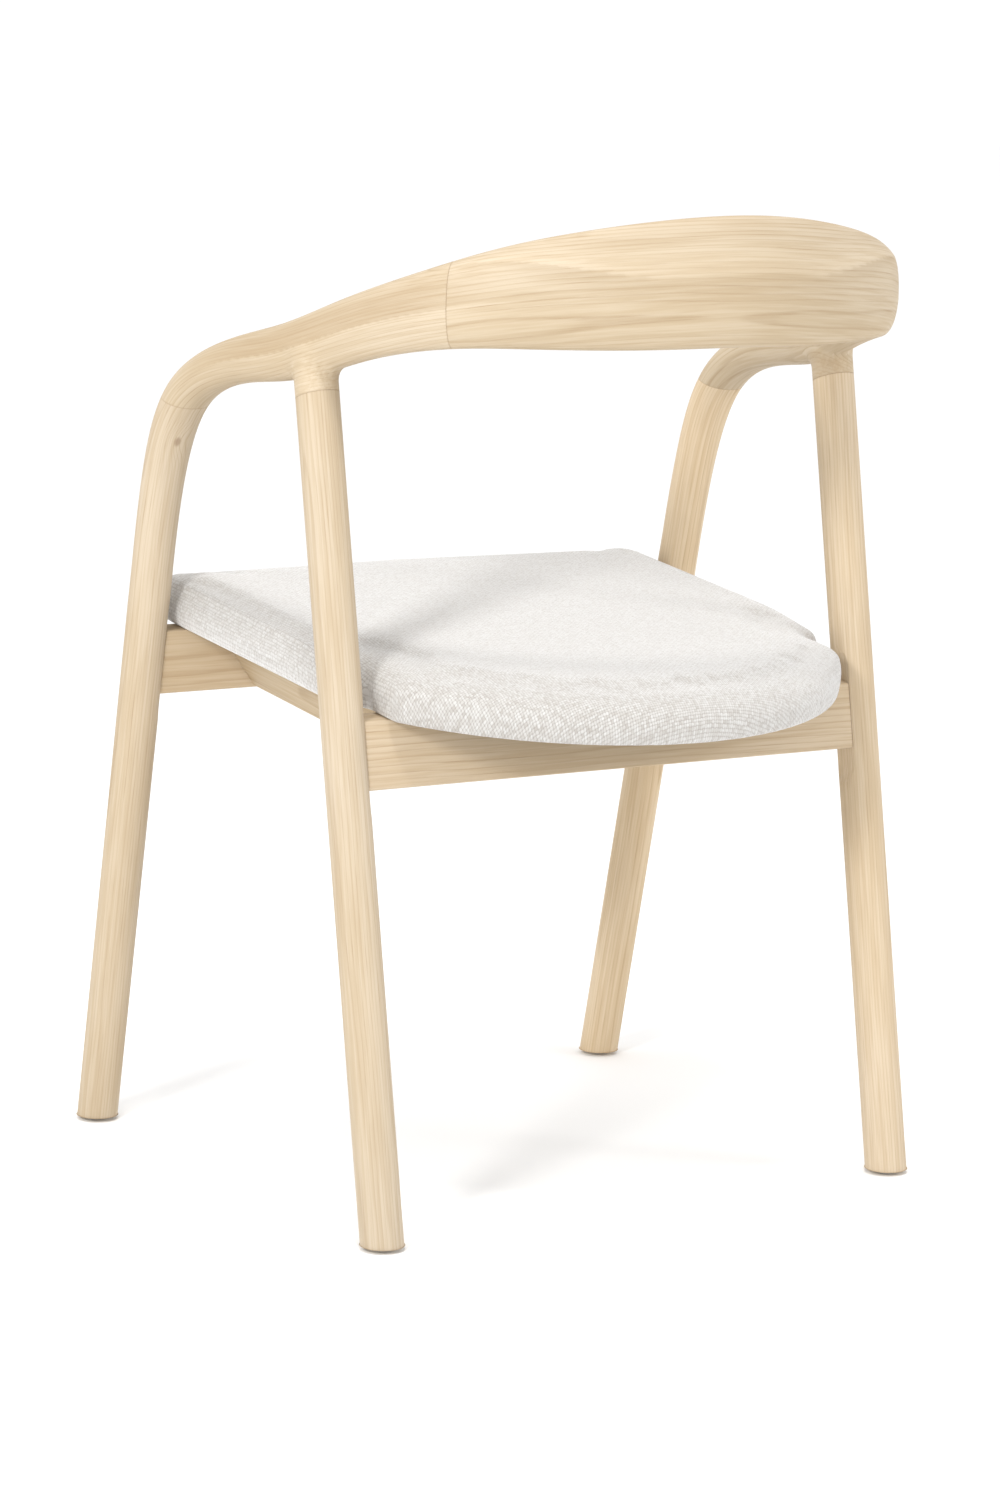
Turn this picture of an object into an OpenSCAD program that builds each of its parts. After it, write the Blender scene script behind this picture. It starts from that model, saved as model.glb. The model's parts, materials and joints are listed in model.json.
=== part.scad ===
// Dining armchair: a continuous curved back and arm rail on four splayed round legs,
// with an upholstered pad on a sloping seat frame.
// Millimetres, +Z up, front towards -Y, the sitter's left towards +X.
// The origin is on the floor, under the middle of the chair's outline.

/* [Legs] */
// Diameter of the round legs
leg_d = 33.2; // [30:0.2:38]
// Half distance between the front feet
front_foot_x = 248.8; // [235:0.2:260]
// Distance from the middle of the feet to each pair of feet
foot_y = 220.6; // [205:0.2:235]
// Half distance between the rear feet
rear_foot_x = 235; // [222:0.2:246]
// Height of the joint between a rear leg and its arm
neck_z = 628.5; // [620:0.5:632]

/* [Seat frame] */
// Slope of the seat, down towards the back, in degrees
seat_tilt = 6.2; // [4:0.1:8]
// Height of the seat frame's top over the middle of the feet
seat_z = 407.2; // [400:0.1:415]
// Thickness of the front and rear rails
rail_t = 22; // [18:1:24]
// Half distance between the side rails' lower outer edges
side_rail_x = 155; // [145:1:160]
// Height of the side rails
side_rail_h = 51.5; // [44:0.5:54]

/* [Seat pad] */
// Half width of the pad at its front
pad_front_x = 226; // [215:1:230]
// Half width of the pad in front of the rear legs
pad_rear_x = 222; // [215:1:235]
// Half width of the pad between the rear legs
pad_lobe_x = 205; // [196:1:210]
// Front edge of the pad
pad_front_y = -196; // [-206:1:-185]
// Rear edge of the pad
pad_rear_y = 288; // [270:1:292]
// Radius of the pad's round back
pad_back_r = 240; // [230:1:260]
// Thickness of the plywood board
board_t = 12; // [9:1:15]
// Thickness of the whole pad
pad_t = 40; // [34:1:48]
// Thickness of the cover
cover_t = 1.5; // [1:0.5:2]

/* [Hidden] */
$fn = 64;

// The curved rail is a uniform cubic B-spline from the middle of the back (row 0) round the
// left arm and down into the front leg. Each row is a control point: x, y and z of the
// section's middle, then the section's height and thickness.
leg_lean_x = 0.0104;
front_slope = 0.21;
rear_slope = -0.1781;
rear_slope_x = 0.0043;
function front_axis(z) = [front_foot_x + leg_lean_x * z, -foot_y + front_slope * z, z];
function rear_axis(z) = [rear_foot_x + rear_slope_x * z, foot_y + rear_slope * z, z];
function leg_row(z, d) = concat(front_axis(z), [d, d]);
RING = [
    [0, 316, 724, 98, 26],
    [77, 299, 719, 94, 27],
    [155.5, 265, 712, 79, 30],
    [200.5, 220, 701, 58, 33],
    [226, 145, 682, 48, 37],
    [242, 78, 656, 45, 41],
    [248.5, 11, 650, 34.5, 41],
    [254, -75, 622, 30.5, 38],
    leg_row(541, leg_d),
    leg_row(466, leg_d - 0.6),
    leg_row(391, leg_d - 0.6)
];
// Where the back meets the arm, and the arm the front leg, counted in rows
back_joint_t = 2.83;
elbow_joint_t = 7.07;
leg_top_t = 8.9;
// The joints aren't square to the rail: each end is drawn longer and then cut on a plane
joint_over_t = 0.16;
elbow_joint_slope = -0.3;
neck_joint_slope = 0.36;
joint_cut = 60;
section_n = 28;

// Lengths shared by the joints
clear = 0.05;
foot_gap = 3;
front_lean = atan(front_slope);
rear_lean = atan(-rear_slope);
flat_x = 12.4;
front_rail_z = 370.3;
rear_rail_z = 336.8;
rail_h = 60;
front_rail_x = front_axis(395)[0] - flat_x;
rear_rail_x = rear_axis(362)[0] - flat_x;
outline_mid_y = 43.4;
eased_h = 8;
hem_w = 40;
block_h = 30;
screw_x = 112;
screw_front_y = -96;
screw_rear_y = 118;

function ring_row(i) = i < 0 ? [for (k = [0:4]) (k == 0 ? -1 : 1) * RING[-i][k]] : RING[i];
function ring_cell(t) = min(floor(t), len(RING) - 3);
function ring_mix(i, w) =
    w[0] * ring_row(i - 1) + w[1] * ring_row(i) + w[2] * ring_row(i + 1) + w[3] * ring_row(i + 2);
function weights(f) =
    [pow(1 - f, 3), 3 * pow(f, 3) - 6 * f * f + 4, -3 * pow(f, 3) + 3 * f * f + 3 * f + 1, pow(f, 3)] / 6;
function weight_rates(f) =
    [-pow(1 - f, 2), 3 * f * f - 4 * f, -3 * f * f + 2 * f + 1, f * f] / 2;
function ring_at(t) = ring_mix(ring_cell(t), weights(t - ring_cell(t)));
function ring_rate(t) = ring_mix(ring_cell(t), weight_rates(t - ring_cell(t)));
function point(row) = [row[0], row[1], row[2]];
function unit(v) = v / norm(v);
function ramp(a, b, x) = let (s = min(1, max(0, (x - a) / (b - a)))) s * s * (3 - 2 * s);
function signed_pow(v, e) = sign(v) * pow(abs(v), e);

// The section is a superellipse. Its outer face has a bevel along the top of the back and a
// soft ridge along the arm, and the back leans outwards a little.
function squareness(t) = lookup(abs(t), [[0, 3], [2, 2.9], [4, 2.5], [7, 2.15], [8, 2]]);
function bevel_cut(t, u) =
    let (start = 0.12 + 0.75 * ramp(0.6, 2.8, abs(t)), depth = 0.5 * (1 - ramp(1.6, 3, abs(t))))
    1 - depth * pow(min(1, max(0, (u - start) / (1 - start))), 1.2);
function ridge_cut(t, u) =
    1 - 0.22 * ramp(2.2, 3.6, abs(t)) * (1 - ramp(5.5, 7, abs(t))) * abs(u + 0.05);
function lean(t) = 0.08 * (1 - ramp(1.5, 3.8, abs(t)));
function section_point(t, angle, row) =
    let (
        e = 2 / squareness(t),
        u = signed_pow(sin(angle), e),
        side = cos(angle) > 0 ? bevel_cut(t, u) * ridge_cut(t, u) : 1,
        up = row[3] / 2 * u
    )
    [row[4] / 2 * signed_pow(cos(angle), e) * side + lean(t) * up, up];
function ring_section(t) =
    let (
        row = ring_at(t),
        along = unit(point(ring_rate(t))),
        out = unit([-along[1], along[0], 0]),
        up = cross(out, along)
    )
    [for (k = [0:section_n - 1])
        let (p = section_point(t, 360 * (k + 0.5) / section_n, row))
        point(row) + p[0] * out + p[1] * (up[2] < 0 ? -up : up)];

// One stretch of the curved rail, from t0 to t1
module ring_stretch(t0, t1, steps) {
    n = section_n;
    rings = [for (i = [0:steps]) ring_section(t0 + (t1 - t0) * i / steps)];
    walls = [for (i = [0:steps - 1], k = [0:n - 1])
        [i * n + k, (i + 1) * n + k, (i + 1) * n + (k + 1) % n, i * n + (k + 1) % n]];
    caps = [[for (k = [0:n - 1]) k], [for (k = [n - 1:-1:0]) steps * n + k]];
    polyhedron([for (ring = rings, p = ring) p], concat(walls, caps), convexity = 6);
}

// Stands children on the curved rail's middle line at t, with +Z along it
module on_ring(t) {
    along = unit(point(ring_rate(t)));
    translate(point(ring_at(t)))
        rotate([0, acos(along[2]), atan2(along[1], along[0])])
            children();
}

// Stands children on a leg's middle line at height z, with +Z up the leg
module on_front_leg(z) {
    translate(front_axis(z)) rotate([-front_lean, atan(leg_lean_x), 0]) children();
}

module on_rear_leg(z) {
    translate(rear_axis(z)) rotate([rear_lean, atan(rear_slope_x), 0]) children();
}

// The seat frame's own axes: +Z square to the seat, origin on the rails' top
module on_seat() {
    translate([0, 0, seat_z]) rotate([-seat_tilt, 0, 0]) children();
}

// Puts the chair's outline over the origin, and makes the right-hand copy
module chair() {
    translate([0, -outline_mid_y, 0]) children();
}

module right_hand() {
    mirror([1, 0, 0]) children();
}

module both_hands() {
    children();
    mirror([1, 0, 0]) children();
}

// Cutters for the joints, on the side of the joint plane that the piece doesn't reach
module back_joint_cut(side) {
    along = ring_rate(back_joint_t);
    translate(point(ring_at(back_joint_t))) rotate([0, 0, atan2(along[1], along[0])])
        translate([side * joint_cut / 2, 0, 0]) cube([joint_cut, joint_cut, 2 * joint_cut], center = true);
}

module level_cut(at, slope, side) {
    translate(at) rotate([atan(slope), 0, 0])
        translate([0, 0, side * joint_cut / 2]) cube(joint_cut, center = true);
}

module elbow_cut(side) {
    level_cut(point(ring_at(elbow_joint_t)), elbow_joint_slope, side);
}

module neck_cut(side) {
    level_cut(rear_axis(neck_z), neck_joint_slope, side);
}

module rod(d, l) {
    translate([0, 0, -l / 2]) cylinder(d = d, h = l, $fn = 32);
}

// Dowels, each drawn in place; the same modules drill their bores with a little clearance
module back_dowel_pair(gap = 0) {
    on_ring(back_joint_t) for (s = [-1, 1]) translate([s * 15, 0, 0]) rod(10 + 2 * gap, 56 + 2 * gap);
}

module elbow_dowel(gap = 0) {
    on_ring(elbow_joint_t) rod(12 + 2 * gap, 44 + 2 * gap);
}

module neck_dowel(gap = 0) {
    on_rear_leg(neck_z) rod(14 + 2 * gap, 56 + 2 * gap);
}

module front_rail_dowel_pair(gap = 0) {
    for (z = [14, 36])
        translate([front_rail_x, front_axis(front_rail_z)[1], front_rail_z])
            rotate([-front_lean, 0, 0]) translate([0, 0, z]) rotate([0, 90, 0]) rod(8 + 2 * gap, 40 + 2 * gap);
}

module rear_rail_dowel_pair(gap = 0) {
    for (z = [14, 36])
        translate([rear_rail_x, rear_axis(rear_rail_z)[1], rear_rail_z])
            rotate([rear_lean, 0, 0]) translate([0, 0, z]) rotate([0, 90, 0]) rod(8 + 2 * gap, 40 + 2 * gap);
}

module side_rail_dowel_pairs(gap = 0) {
    on_seat() for (z = [-37, -15], y = [side_front_y(z), side_rear_y(z)])
        translate([side_rail_x - 8, y, z]) rotate([90, 0, 0]) rod(8 + 2 * gap, 28 + 2 * gap);
}

// Where the side rails meet the other two rails, in the seat frame's axes, at height z
function side_front_y(z) =
    (front_axis(seat_z)[1] + rail_t / 2 / cos(front_lean)) + tan(front_lean - seat_tilt) * z + 3.4;
function side_rear_y(z) =
    (rear_axis(seat_z)[1] - rail_t / 2 / cos(rear_lean)) - tan(rear_lean + seat_tilt) * z + 3.9;

// The curved back, and the arms with the stub that stands on the rear leg
module back_rail() {
    color("burlywood") chair() difference() {
        ring_stretch(-back_joint_t - joint_over_t, back_joint_t + joint_over_t, 42);
        both_hands() back_joint_cut(1);
        both_hands() back_dowel_pair(clear);
    }
}

module arm() {
    difference() {
        union() {
            ring_stretch(back_joint_t - joint_over_t, elbow_joint_t + joint_over_t, 38);
            on_rear_leg(neck_z) translate([0, 0, -10]) cylinder(d1 = leg_d, d2 = leg_d + 1, h = 44);
        }
        back_joint_cut(-1);
        elbow_cut(-1);
        neck_cut(-1);
        back_dowel_pair(clear);
        elbow_dowel(clear);
        neck_dowel(clear);
    }
}

module arm_left() {
    color("burlywood") chair() arm();
}

module arm_right() {
    color("burlywood") chair() right_hand() arm();
}

// A round leg, cut level at the foot, with a milled flat on its inner side for the rail
module leg_flat(z_low, z_high) {
    cutter_r = 45;
    translate([-flat_x - leg_d, -leg_d, z_low]) cube([leg_d, 2 * leg_d, z_high - z_low]);
    for (z = [z_low, z_high])
        translate([-flat_x - cutter_r, 0, z]) rotate([90, 0, 0]) cylinder(r = cutter_r, h = 2 * leg_d, center = true);
}

module floor_cut() {
    translate([0, 0, foot_gap - 50]) cube([2000, 2000, 100], center = true);
}

module front_leg() {
    difference() {
        union() {
            on_front_leg(0) translate([0, 0, -20]) cylinder(d = leg_d, h = 520);
            ring_stretch(elbow_joint_t - joint_over_t, leg_top_t, 13);
        }
        elbow_cut(1);
        floor_cut();
        on_front_leg(front_rail_z) leg_flat(-10, 66);
        elbow_dowel(clear);
        front_rail_dowel_pair(clear);
        glide_nail_at(front_axis(0), clear);
    }
}

module rear_leg() {
    difference() {
        on_rear_leg(0) translate([0, 0, -20]) cylinder(d = leg_d, h = 30 + neck_z * norm([rear_slope_x, rear_slope, 1]));
        neck_cut(1);
        floor_cut();
        on_rear_leg(rear_rail_z) leg_flat(-10, 64);
        neck_dowel(clear);
        rear_rail_dowel_pair(clear);
        glide_nail_at(rear_axis(0), clear);
    }
}

module front_leg_left() {
    color("burlywood") chair() front_leg();
}

module front_leg_right() {
    color("burlywood") chair() right_hand() front_leg();
}

module rear_leg_left() {
    color("burlywood") chair() rear_leg();
}

module rear_leg_right() {
    color("burlywood") chair() right_hand() rear_leg();
}

// Cuts the rails level with the seat frame's top
module above_seat() {
    on_seat() translate([-400, -400, 0]) cube([800, 800, 100]);
}

module front_rail_bar() {
    translate([0, front_axis(front_rail_z)[1], front_rail_z]) rotate([-front_lean, 0, 0])
        translate([-front_rail_x, -rail_t / 2, 0]) cube([2 * front_rail_x, rail_t, rail_h]);
}

module rear_rail_bar() {
    translate([0, rear_axis(rear_rail_z)[1], rear_rail_z]) rotate([rear_lean, 0, 0])
        translate([-rear_rail_x, -rail_t / 2, 0]) cube([2 * rear_rail_x, rail_t, rail_h]);
}

module front_rail() {
    color("burlywood") chair() difference() {
        front_rail_bar();
        above_seat();
        both_hands() front_rail_dowel_pair(clear);
        both_hands() side_rail_dowel_pairs(clear);
        both_hands() corner_screw_pairs(clear);
    }
}

module rear_rail() {
    color("burlywood") chair() difference() {
        rear_rail_bar();
        above_seat();
        both_hands() rear_rail_dowel_pair(clear);
        both_hands() side_rail_dowel_pairs(clear);
        both_hands() corner_screw_pairs(clear);
    }
}

// Everything in front of the front rail's rear face, and behind the rear rail's front face
module outside_cross_rails() {
    translate([0, front_axis(front_rail_z)[1], front_rail_z]) rotate([-front_lean, 0, 0])
        translate([-300, rail_t / 2 - 300, -100]) cube([600, 300, 200]);
    translate([0, rear_axis(rear_rail_z)[1], rear_rail_z]) rotate([rear_lean, 0, 0])
        translate([-300, -rail_t / 2, -100]) cube([600, 300, 200]);
}

// A side rail's outer face slopes inwards, down to its lower edge
module side_rail() {
    difference() {
        on_seat() translate([0, 170, 0]) rotate([90, 0, 0]) linear_extrude(330)
            polygon([[side_rail_x - 22, -side_rail_h], [side_rail_x, -side_rail_h],
                [side_rail_x + 40, 0], [side_rail_x - 22, 0]]);
        outside_cross_rails();
        side_rail_dowel_pairs(clear);
        corner_screw_pairs(clear);
    }
}

module side_rail_left() {
    color("burlywood") chair() side_rail();
}

module side_rail_right() {
    color("burlywood") chair() right_hand() side_rail();
}

// Three-cornered blocks that stiffen the frame's inner corners and carry the seat bolts
module corner_block(front) {
    inner_x = side_rail_x - 22;
    y = front ? screw_front_y : screw_rear_y;
    reach = front ? -1 : 1;
    difference() {
        on_seat() translate([0, 0, -block_h]) linear_extrude(block_h)
            polygon([[inner_x, y - reach * 32], [inner_x, y + reach * 60],
                [inner_x - 92, y + reach * 60], [inner_x - 92 + 22, y + reach * 18],
                [inner_x - 22, y - reach * 32]]);
        outside_cross_rails();
        corner_screw_pairs(clear);
        seat_bolt_at(y, clear);
    }
}

module corner_block_front_left() {
    color("tan") chair() corner_block(true);
}

module corner_block_front_right() {
    color("tan") chair() right_hand() corner_block(true);
}

module corner_block_rear_left() {
    color("tan") chair() corner_block(false);
}

module corner_block_rear_right() {
    color("tan") chair() right_hand() corner_block(false);
}

// Countersunk wood screws: one into the side rail and one into the cross rail at each block
module wood_screw(gap = 0) {
    rotate_extrude($fn = 24)
        polygon([[0, -gap], [4 + gap, -gap], [4 + gap, 0.8], [2 + gap, 3.2], [2 + gap, 30], [0, 34 + gap]]);
}

module corner_screw_pairs(gap = 0) {
    inner_x = side_rail_x - 22;
    on_seat() {
        for (y = [screw_front_y + 18, screw_rear_y - 18])
            translate([inner_x - 21, y, -block_h / 2]) rotate([0, 90, 0]) wood_screw(gap);
        translate([screw_x - 30, side_front_y(-block_h / 2) + 21, -block_h / 2]) rotate([90, 0, 0]) wood_screw(gap);
        translate([screw_x - 30, side_rear_y(-block_h / 2) - 21, -block_h / 2]) rotate([-90, 0, 0]) wood_screw(gap);
    }
}

// Seat bolts pass up through the blocks into tee nuts in the board
module seat_bolt_at(y, gap = 0) {
    on_seat() translate([screw_x, y, -block_h - 4]) {
        cylinder(d = 6 + 2 * gap, h = block_h + 4 + board_t - 1, $fn = 32);
        translate([0, 0, -gap]) cylinder(d = 12 + 2 * gap, h = 4 + gap, $fn = 32);
    }
}

module tee_nut_at(y, gap = 0) {
    on_seat() translate([screw_x, y, cover_t]) {
        translate([0, 0, board_t - 1.2 - gap]) cylinder(d = 18 + 2 * gap, h = 1.2 + gap, $fn = 32);
        translate([0, 0, 1 - gap]) cylinder(d = 8 + 2 * gap, h = board_t - 1.2, $fn = 32);
    }
}

// The pad's outline: slightly flared sides, a shallow bow at the front, a round back, and a
// step on each side for the rear leg
module pad_plan() {
    corner_r = 46;
    bow_r = 900;
    step_y = rear_axis(seat_z - 17)[1] - leg_d / 2 - 9;
    hull() {
        for (s = [-1, 1]) {
            translate([s * (pad_front_x - corner_r), pad_front_y + corner_r + 9]) circle(r = corner_r);
            translate([s * (pad_rear_x - 5), step_y - 5]) circle(r = 5, $fn = 16);
        }
        for (a = [-7:1:7]) translate([bow_r * sin(a), pad_front_y + bow_r * (1 - cos(a)) + 5]) circle(r = 5, $fn = 16);
    }
    intersection() {
        translate([0, pad_rear_y - pad_back_r]) circle(r = pad_back_r, $fn = 144);
        translate([-pad_lobe_x, 0]) square([2 * pad_lobe_x, pad_rear_y]);
    }
}

module pad_outline(inset) {
    corner_r = 14;
    offset(r = corner_r - inset) offset(r = -2 * corner_r) offset(r = corner_r) pad_plan();
}

module pad_layer(inset, z0, z1) {
    on_seat() translate([0, 0, z0]) linear_extrude(z1 - z0) pad_outline(inset);
}

module seat_board() {
    color("peru") chair() difference() {
        pad_layer(cover_t, cover_t, cover_t + board_t);
        both_hands() for (y = [screw_front_y, screw_rear_y]) {
            seat_bolt_at(y, clear);
            tee_nut_at(y, clear);
        }
    }
}

// Foam covers the board's top; its upper edge is eased
module seat_foam() {
    top = pad_t - cover_t;
    color("khaki") chair() union() {
        pad_layer(cover_t, cover_t + board_t, top - eased_h);
        pad_layer(cover_t + eased_h, top - eased_h, top);
    }
}

module seat_cover() {
    top = pad_t - cover_t;
    color("gainsboro") chair() difference() {
        union() {
            pad_layer(0, 0, top - eased_h + cover_t);
            pad_layer(eased_h, top - eased_h, pad_t);
        }
        pad_layer(cover_t, cover_t, top - eased_h);
        pad_layer(cover_t + eased_h, top - eased_h - 1, top);
        pad_layer(hem_w, -1, cover_t + 1);
    }
}

module dust_cover() {
    color("dimgray") chair() difference() {
        pad_layer(hem_w + 0.2, 0.2, 1.2);
        both_hands() for (y = [screw_front_y, screw_rear_y]) seat_bolt_at(y, 1);
    }
}

// Staples in a row round the hem of the cover, on the board's underside
module cover_staples() {
    row_in = 30;
    row_r = pad_back_r - row_in;
    color("silver") chair() on_seat() both_hands() {
        for (y = [-95:25:80]) staple([pad_front_x - row_in, y], 90);
        for (x = [20:25:170]) staple([x, pad_front_y + row_in], 0);
        for (a = [6:12:42])
            staple([row_r * sin(a), pad_rear_y - pad_back_r + row_r * cos(a)], -a);
    }
}

module staple(at, turn) {
    translate([at[0], at[1], -0.6]) rotate([0, 0, turn]) translate([-5, -0.6, 0]) cube([10, 1.2, 0.6]);
}

module seat_bolts() {
    color("dimgray") chair() both_hands() for (y = [screw_front_y, screw_rear_y]) seat_bolt_at(y);
}

module seat_tee_nuts() {
    color("silver") chair() both_hands() for (y = [screw_front_y, screw_rear_y]) difference() {
        tee_nut_at(y);
        seat_bolt_at(y, clear);
    }
}

module back_joint_dowels() {
    color("wheat") chair() both_hands() back_dowel_pair();
}

module rear_leg_dowels() {
    color("wheat") chair() both_hands() neck_dowel();
}

module front_leg_dowels() {
    color("wheat") chair() both_hands() elbow_dowel();
}

module front_rail_dowels() {
    color("wheat") chair() both_hands() front_rail_dowel_pair();
}

module rear_rail_dowels() {
    color("wheat") chair() both_hands() rear_rail_dowel_pair();
}

module side_rail_dowels() {
    color("wheat") chair() both_hands() side_rail_dowel_pairs();
}

module corner_block_screws() {
    color("silver") chair() both_hands() corner_screw_pairs();
}

// Nail-on glides under the feet
module glide_nail_at(foot, gap = 0) {
    translate([foot[0], foot[1], 1.5]) cylinder(d = 2.5 + 2 * gap, h = 18 + gap, $fn = 24);
}

module glide_at(foot) {
    difference() {
        translate([foot[0], foot[1], 0]) rotate_extrude($fn = 48)
            polygon([[0, 0], [7.5, 0], [8.5, 0.8], [8.5, foot_gap], [0, foot_gap]]);
        glide_nail_at(foot, clear);
    }
}

module glide_front_left() {
    color("lightgray") chair() glide_at(front_axis(0));
}

module glide_front_right() {
    color("lightgray") chair() right_hand() glide_at(front_axis(0));
}

module glide_rear_left() {
    color("lightgray") chair() glide_at(rear_axis(0));
}

module glide_rear_right() {
    color("lightgray") chair() right_hand() glide_at(rear_axis(0));
}

module glide_nails() {
    color("silver") chair() both_hands() {
        glide_nail_at(front_axis(0));
        glide_nail_at(rear_axis(0));
    }
}

back_rail();
arm_left();
arm_right();
front_leg_left();
front_leg_right();
rear_leg_left();
rear_leg_right();
front_rail();
rear_rail();
side_rail_left();
side_rail_right();
corner_block_front_left();
corner_block_front_right();
corner_block_rear_left();
corner_block_rear_right();
back_joint_dowels();
rear_leg_dowels();
front_leg_dowels();
front_rail_dowels();
rear_rail_dowels();
side_rail_dowels();
corner_block_screws();
seat_board();
seat_foam();
seat_cover();
dust_cover();
cover_staples();
seat_bolts();
seat_tee_nuts();
glide_front_left();
glide_front_right();
glide_rear_left();
glide_rear_right();
glide_nails();
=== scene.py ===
"""Armchair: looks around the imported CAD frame. Shapes are in plan millimetres, shaders in metres."""

import json
import math

import bmesh
import bpy
import numpy as np
from mathutils import Matrix, Vector


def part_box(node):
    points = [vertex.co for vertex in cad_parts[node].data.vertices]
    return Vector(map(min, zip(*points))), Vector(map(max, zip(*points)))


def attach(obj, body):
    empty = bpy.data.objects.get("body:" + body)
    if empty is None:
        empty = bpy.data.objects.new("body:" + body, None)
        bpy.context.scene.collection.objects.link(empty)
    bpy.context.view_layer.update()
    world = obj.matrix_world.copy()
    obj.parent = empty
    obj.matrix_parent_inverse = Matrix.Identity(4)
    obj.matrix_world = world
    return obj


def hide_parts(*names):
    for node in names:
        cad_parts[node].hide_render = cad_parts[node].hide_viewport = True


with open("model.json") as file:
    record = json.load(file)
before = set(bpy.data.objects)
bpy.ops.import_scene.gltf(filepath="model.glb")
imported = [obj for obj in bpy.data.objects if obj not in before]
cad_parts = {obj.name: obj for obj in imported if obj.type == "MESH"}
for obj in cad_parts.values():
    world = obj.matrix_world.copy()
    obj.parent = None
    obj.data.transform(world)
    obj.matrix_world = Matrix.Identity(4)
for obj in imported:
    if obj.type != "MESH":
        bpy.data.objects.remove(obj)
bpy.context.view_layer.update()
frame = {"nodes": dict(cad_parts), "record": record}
nodes = frame["nodes"]
scene = bpy.context.scene
MM = 0.001


def middle(node):
    low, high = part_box(node)
    return np.array((low + high) / 2) / MM


# The chair's plan is drawn about the middle of its feet, which lies MID_Y behind the origin
FRONT_FOOT = middle("glide_front_left")
REAR_FOOT = middle("glide_rear_left")
MID_Y = -(FRONT_FOOT[1] + REAR_FOOT[1]) / 2
SHIFT = np.array([0, -MID_Y, 0])

LEG_D = 33.2
FRONT_FOOT_X = FRONT_FOOT[0]
REAR_FOOT_X = REAR_FOOT[0]
FOOT_Y = (REAR_FOOT[1] - FRONT_FOOT[1]) / 2
FRONT_SLOPE = np.array([0.0104, 0.21])
REAR_SLOPE = np.array([0.0043, -0.1781])
NECK_Z = 628.5
FOOT_Z = 3.0
FLAT_X = 12.4
RUN_OUT_R = 45.0
FRONT_RAIL_Z = 370.3
REAR_RAIL_Z = 336.8
RAIL_T = 22.0
SEAT_Z = 407.2
SEAT_TILT = math.radians(6.2)
SIDE_RAIL_X = 155.0
SIDE_RAIL_H = 51.5
SIDE_RAIL_FLARE = 40.0
CROSS_RAIL_EASE = 1.2
SIDE_RAIL_EASE = 1.0
RIGHT = np.array([1.0, 0, 0])
REARWARD = np.array([0, 1.0, 0])
MIRROR = np.array([-1, 1, 1])


def front_axis(z):
    return np.array([FRONT_FOOT_X + FRONT_SLOPE[0] * z, -FOOT_Y + FRONT_SLOPE[1] * z, z])


def rear_axis(z):
    return np.array([REAR_FOOT_X + REAR_SLOPE[0] * z, FOOT_Y + REAR_SLOPE[1] * z, z])


def leg_row(z, d):
    return list(front_axis(z)) + [d, d]


# Control rows of the curved rail: x, y, z, section height, section thickness
RING = np.array(
    [
        [0, 316, 724, 98, 26],
        [77, 299, 719, 94, 27],
        [155.5, 265, 712, 79, 30],
        [200.5, 220, 701, 58, 33],
        [226, 145, 682, 48, 37],
        [242, 78, 656, 45, 41],
        [248.5, 11, 650, 34.5, 41],
        [254, -75, 622, 30.5, 38],
        leg_row(541, LEG_D),
        leg_row(466, LEG_D - 0.6),
        leg_row(391, LEG_D - 0.6),
    ]
)
BEFORE = 4
ROWS = np.vstack([RING[BEFORE:0:-1] * [-1, 1, 1, 1, 1], RING])
BACK_JOINT_T = 2.83
ELBOW_JOINT_T = 7.07
JOINT_OVER_T = 0.16
ELBOW_JOINT_SLOPE = -0.3
NECK_JOINT_SLOPE = 0.36
LEG_TOP_T = 8.9


def ramp(a, b, x):
    s = np.clip((x - a) / (b - a), 0, 1)
    return s * s * (3 - 2 * s)


def unit(v):
    return v / np.linalg.norm(v, axis=-1, keepdims=True)


def ring_at(t):
    """Rows of the rail and their rates of change at t."""
    t = np.asarray(t, float)
    cell = np.minimum(np.floor(t), len(RING) - 3).astype(int)
    f = (t - cell)[..., None]
    w = [(1 - f) ** 3, 3 * f**3 - 6 * f * f + 4, -3 * f**3 + 3 * f * f + 3 * f + 1, f**3]
    d = [-((1 - f) ** 2), 3 * f * f - 4 * f, -3 * f * f + 2 * f + 1, f * f]
    near = [ROWS[np.clip(cell - 1 + k + BEFORE, 0, len(ROWS) - 1)] for k in range(4)]
    return sum(a * b for a, b in zip(w, near)) / 6, sum(a * b for a, b in zip(d, near)) / 2


def ring_frame(t):
    """Rows of the rail at t, and its directions along, out and up."""
    row, rate = ring_at(t)
    along = unit(rate[..., :3])
    out = unit(np.stack([-along[..., 1], along[..., 0], 0 * along[..., 0]], -1))
    return row, along, out, np.cross(along, out)


def squareness(t):
    """Exponent of the section's superellipse: squarer in the back, round in the legs."""
    return np.interp(np.abs(t), [0, 2, 4, 7, 8], [3, 2.9, 2.5, 2.15, 2])


def crease_at(t):
    """Height of the crease under the back's bevel, as a share of half the section."""
    return 0.12 + 0.75 * ramp(0.6, 2.8, t)


def side_factor(t, u):
    """How far the outer face is drawn in: a bevel along the top of the back, a ridge on the arm."""
    t = np.abs(t)
    start = crease_at(t)
    depth = 0.5 * (1 - ramp(1.6, 3, t))
    bevel = 1 - depth * np.clip((u - start) / (1 - start), 0, 1)
    ridge = 1 - 0.22 * ramp(2.2, 3.6, t) * (1 - ramp(5.5, 7, t)) * np.abs(u + 0.05)
    return bevel * ridge


def lean(t):
    """How far the section of the back leans out for each millimetre of height."""
    return 0.08 * (1 - ramp(1.5, 3.8, np.abs(t)))


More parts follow.
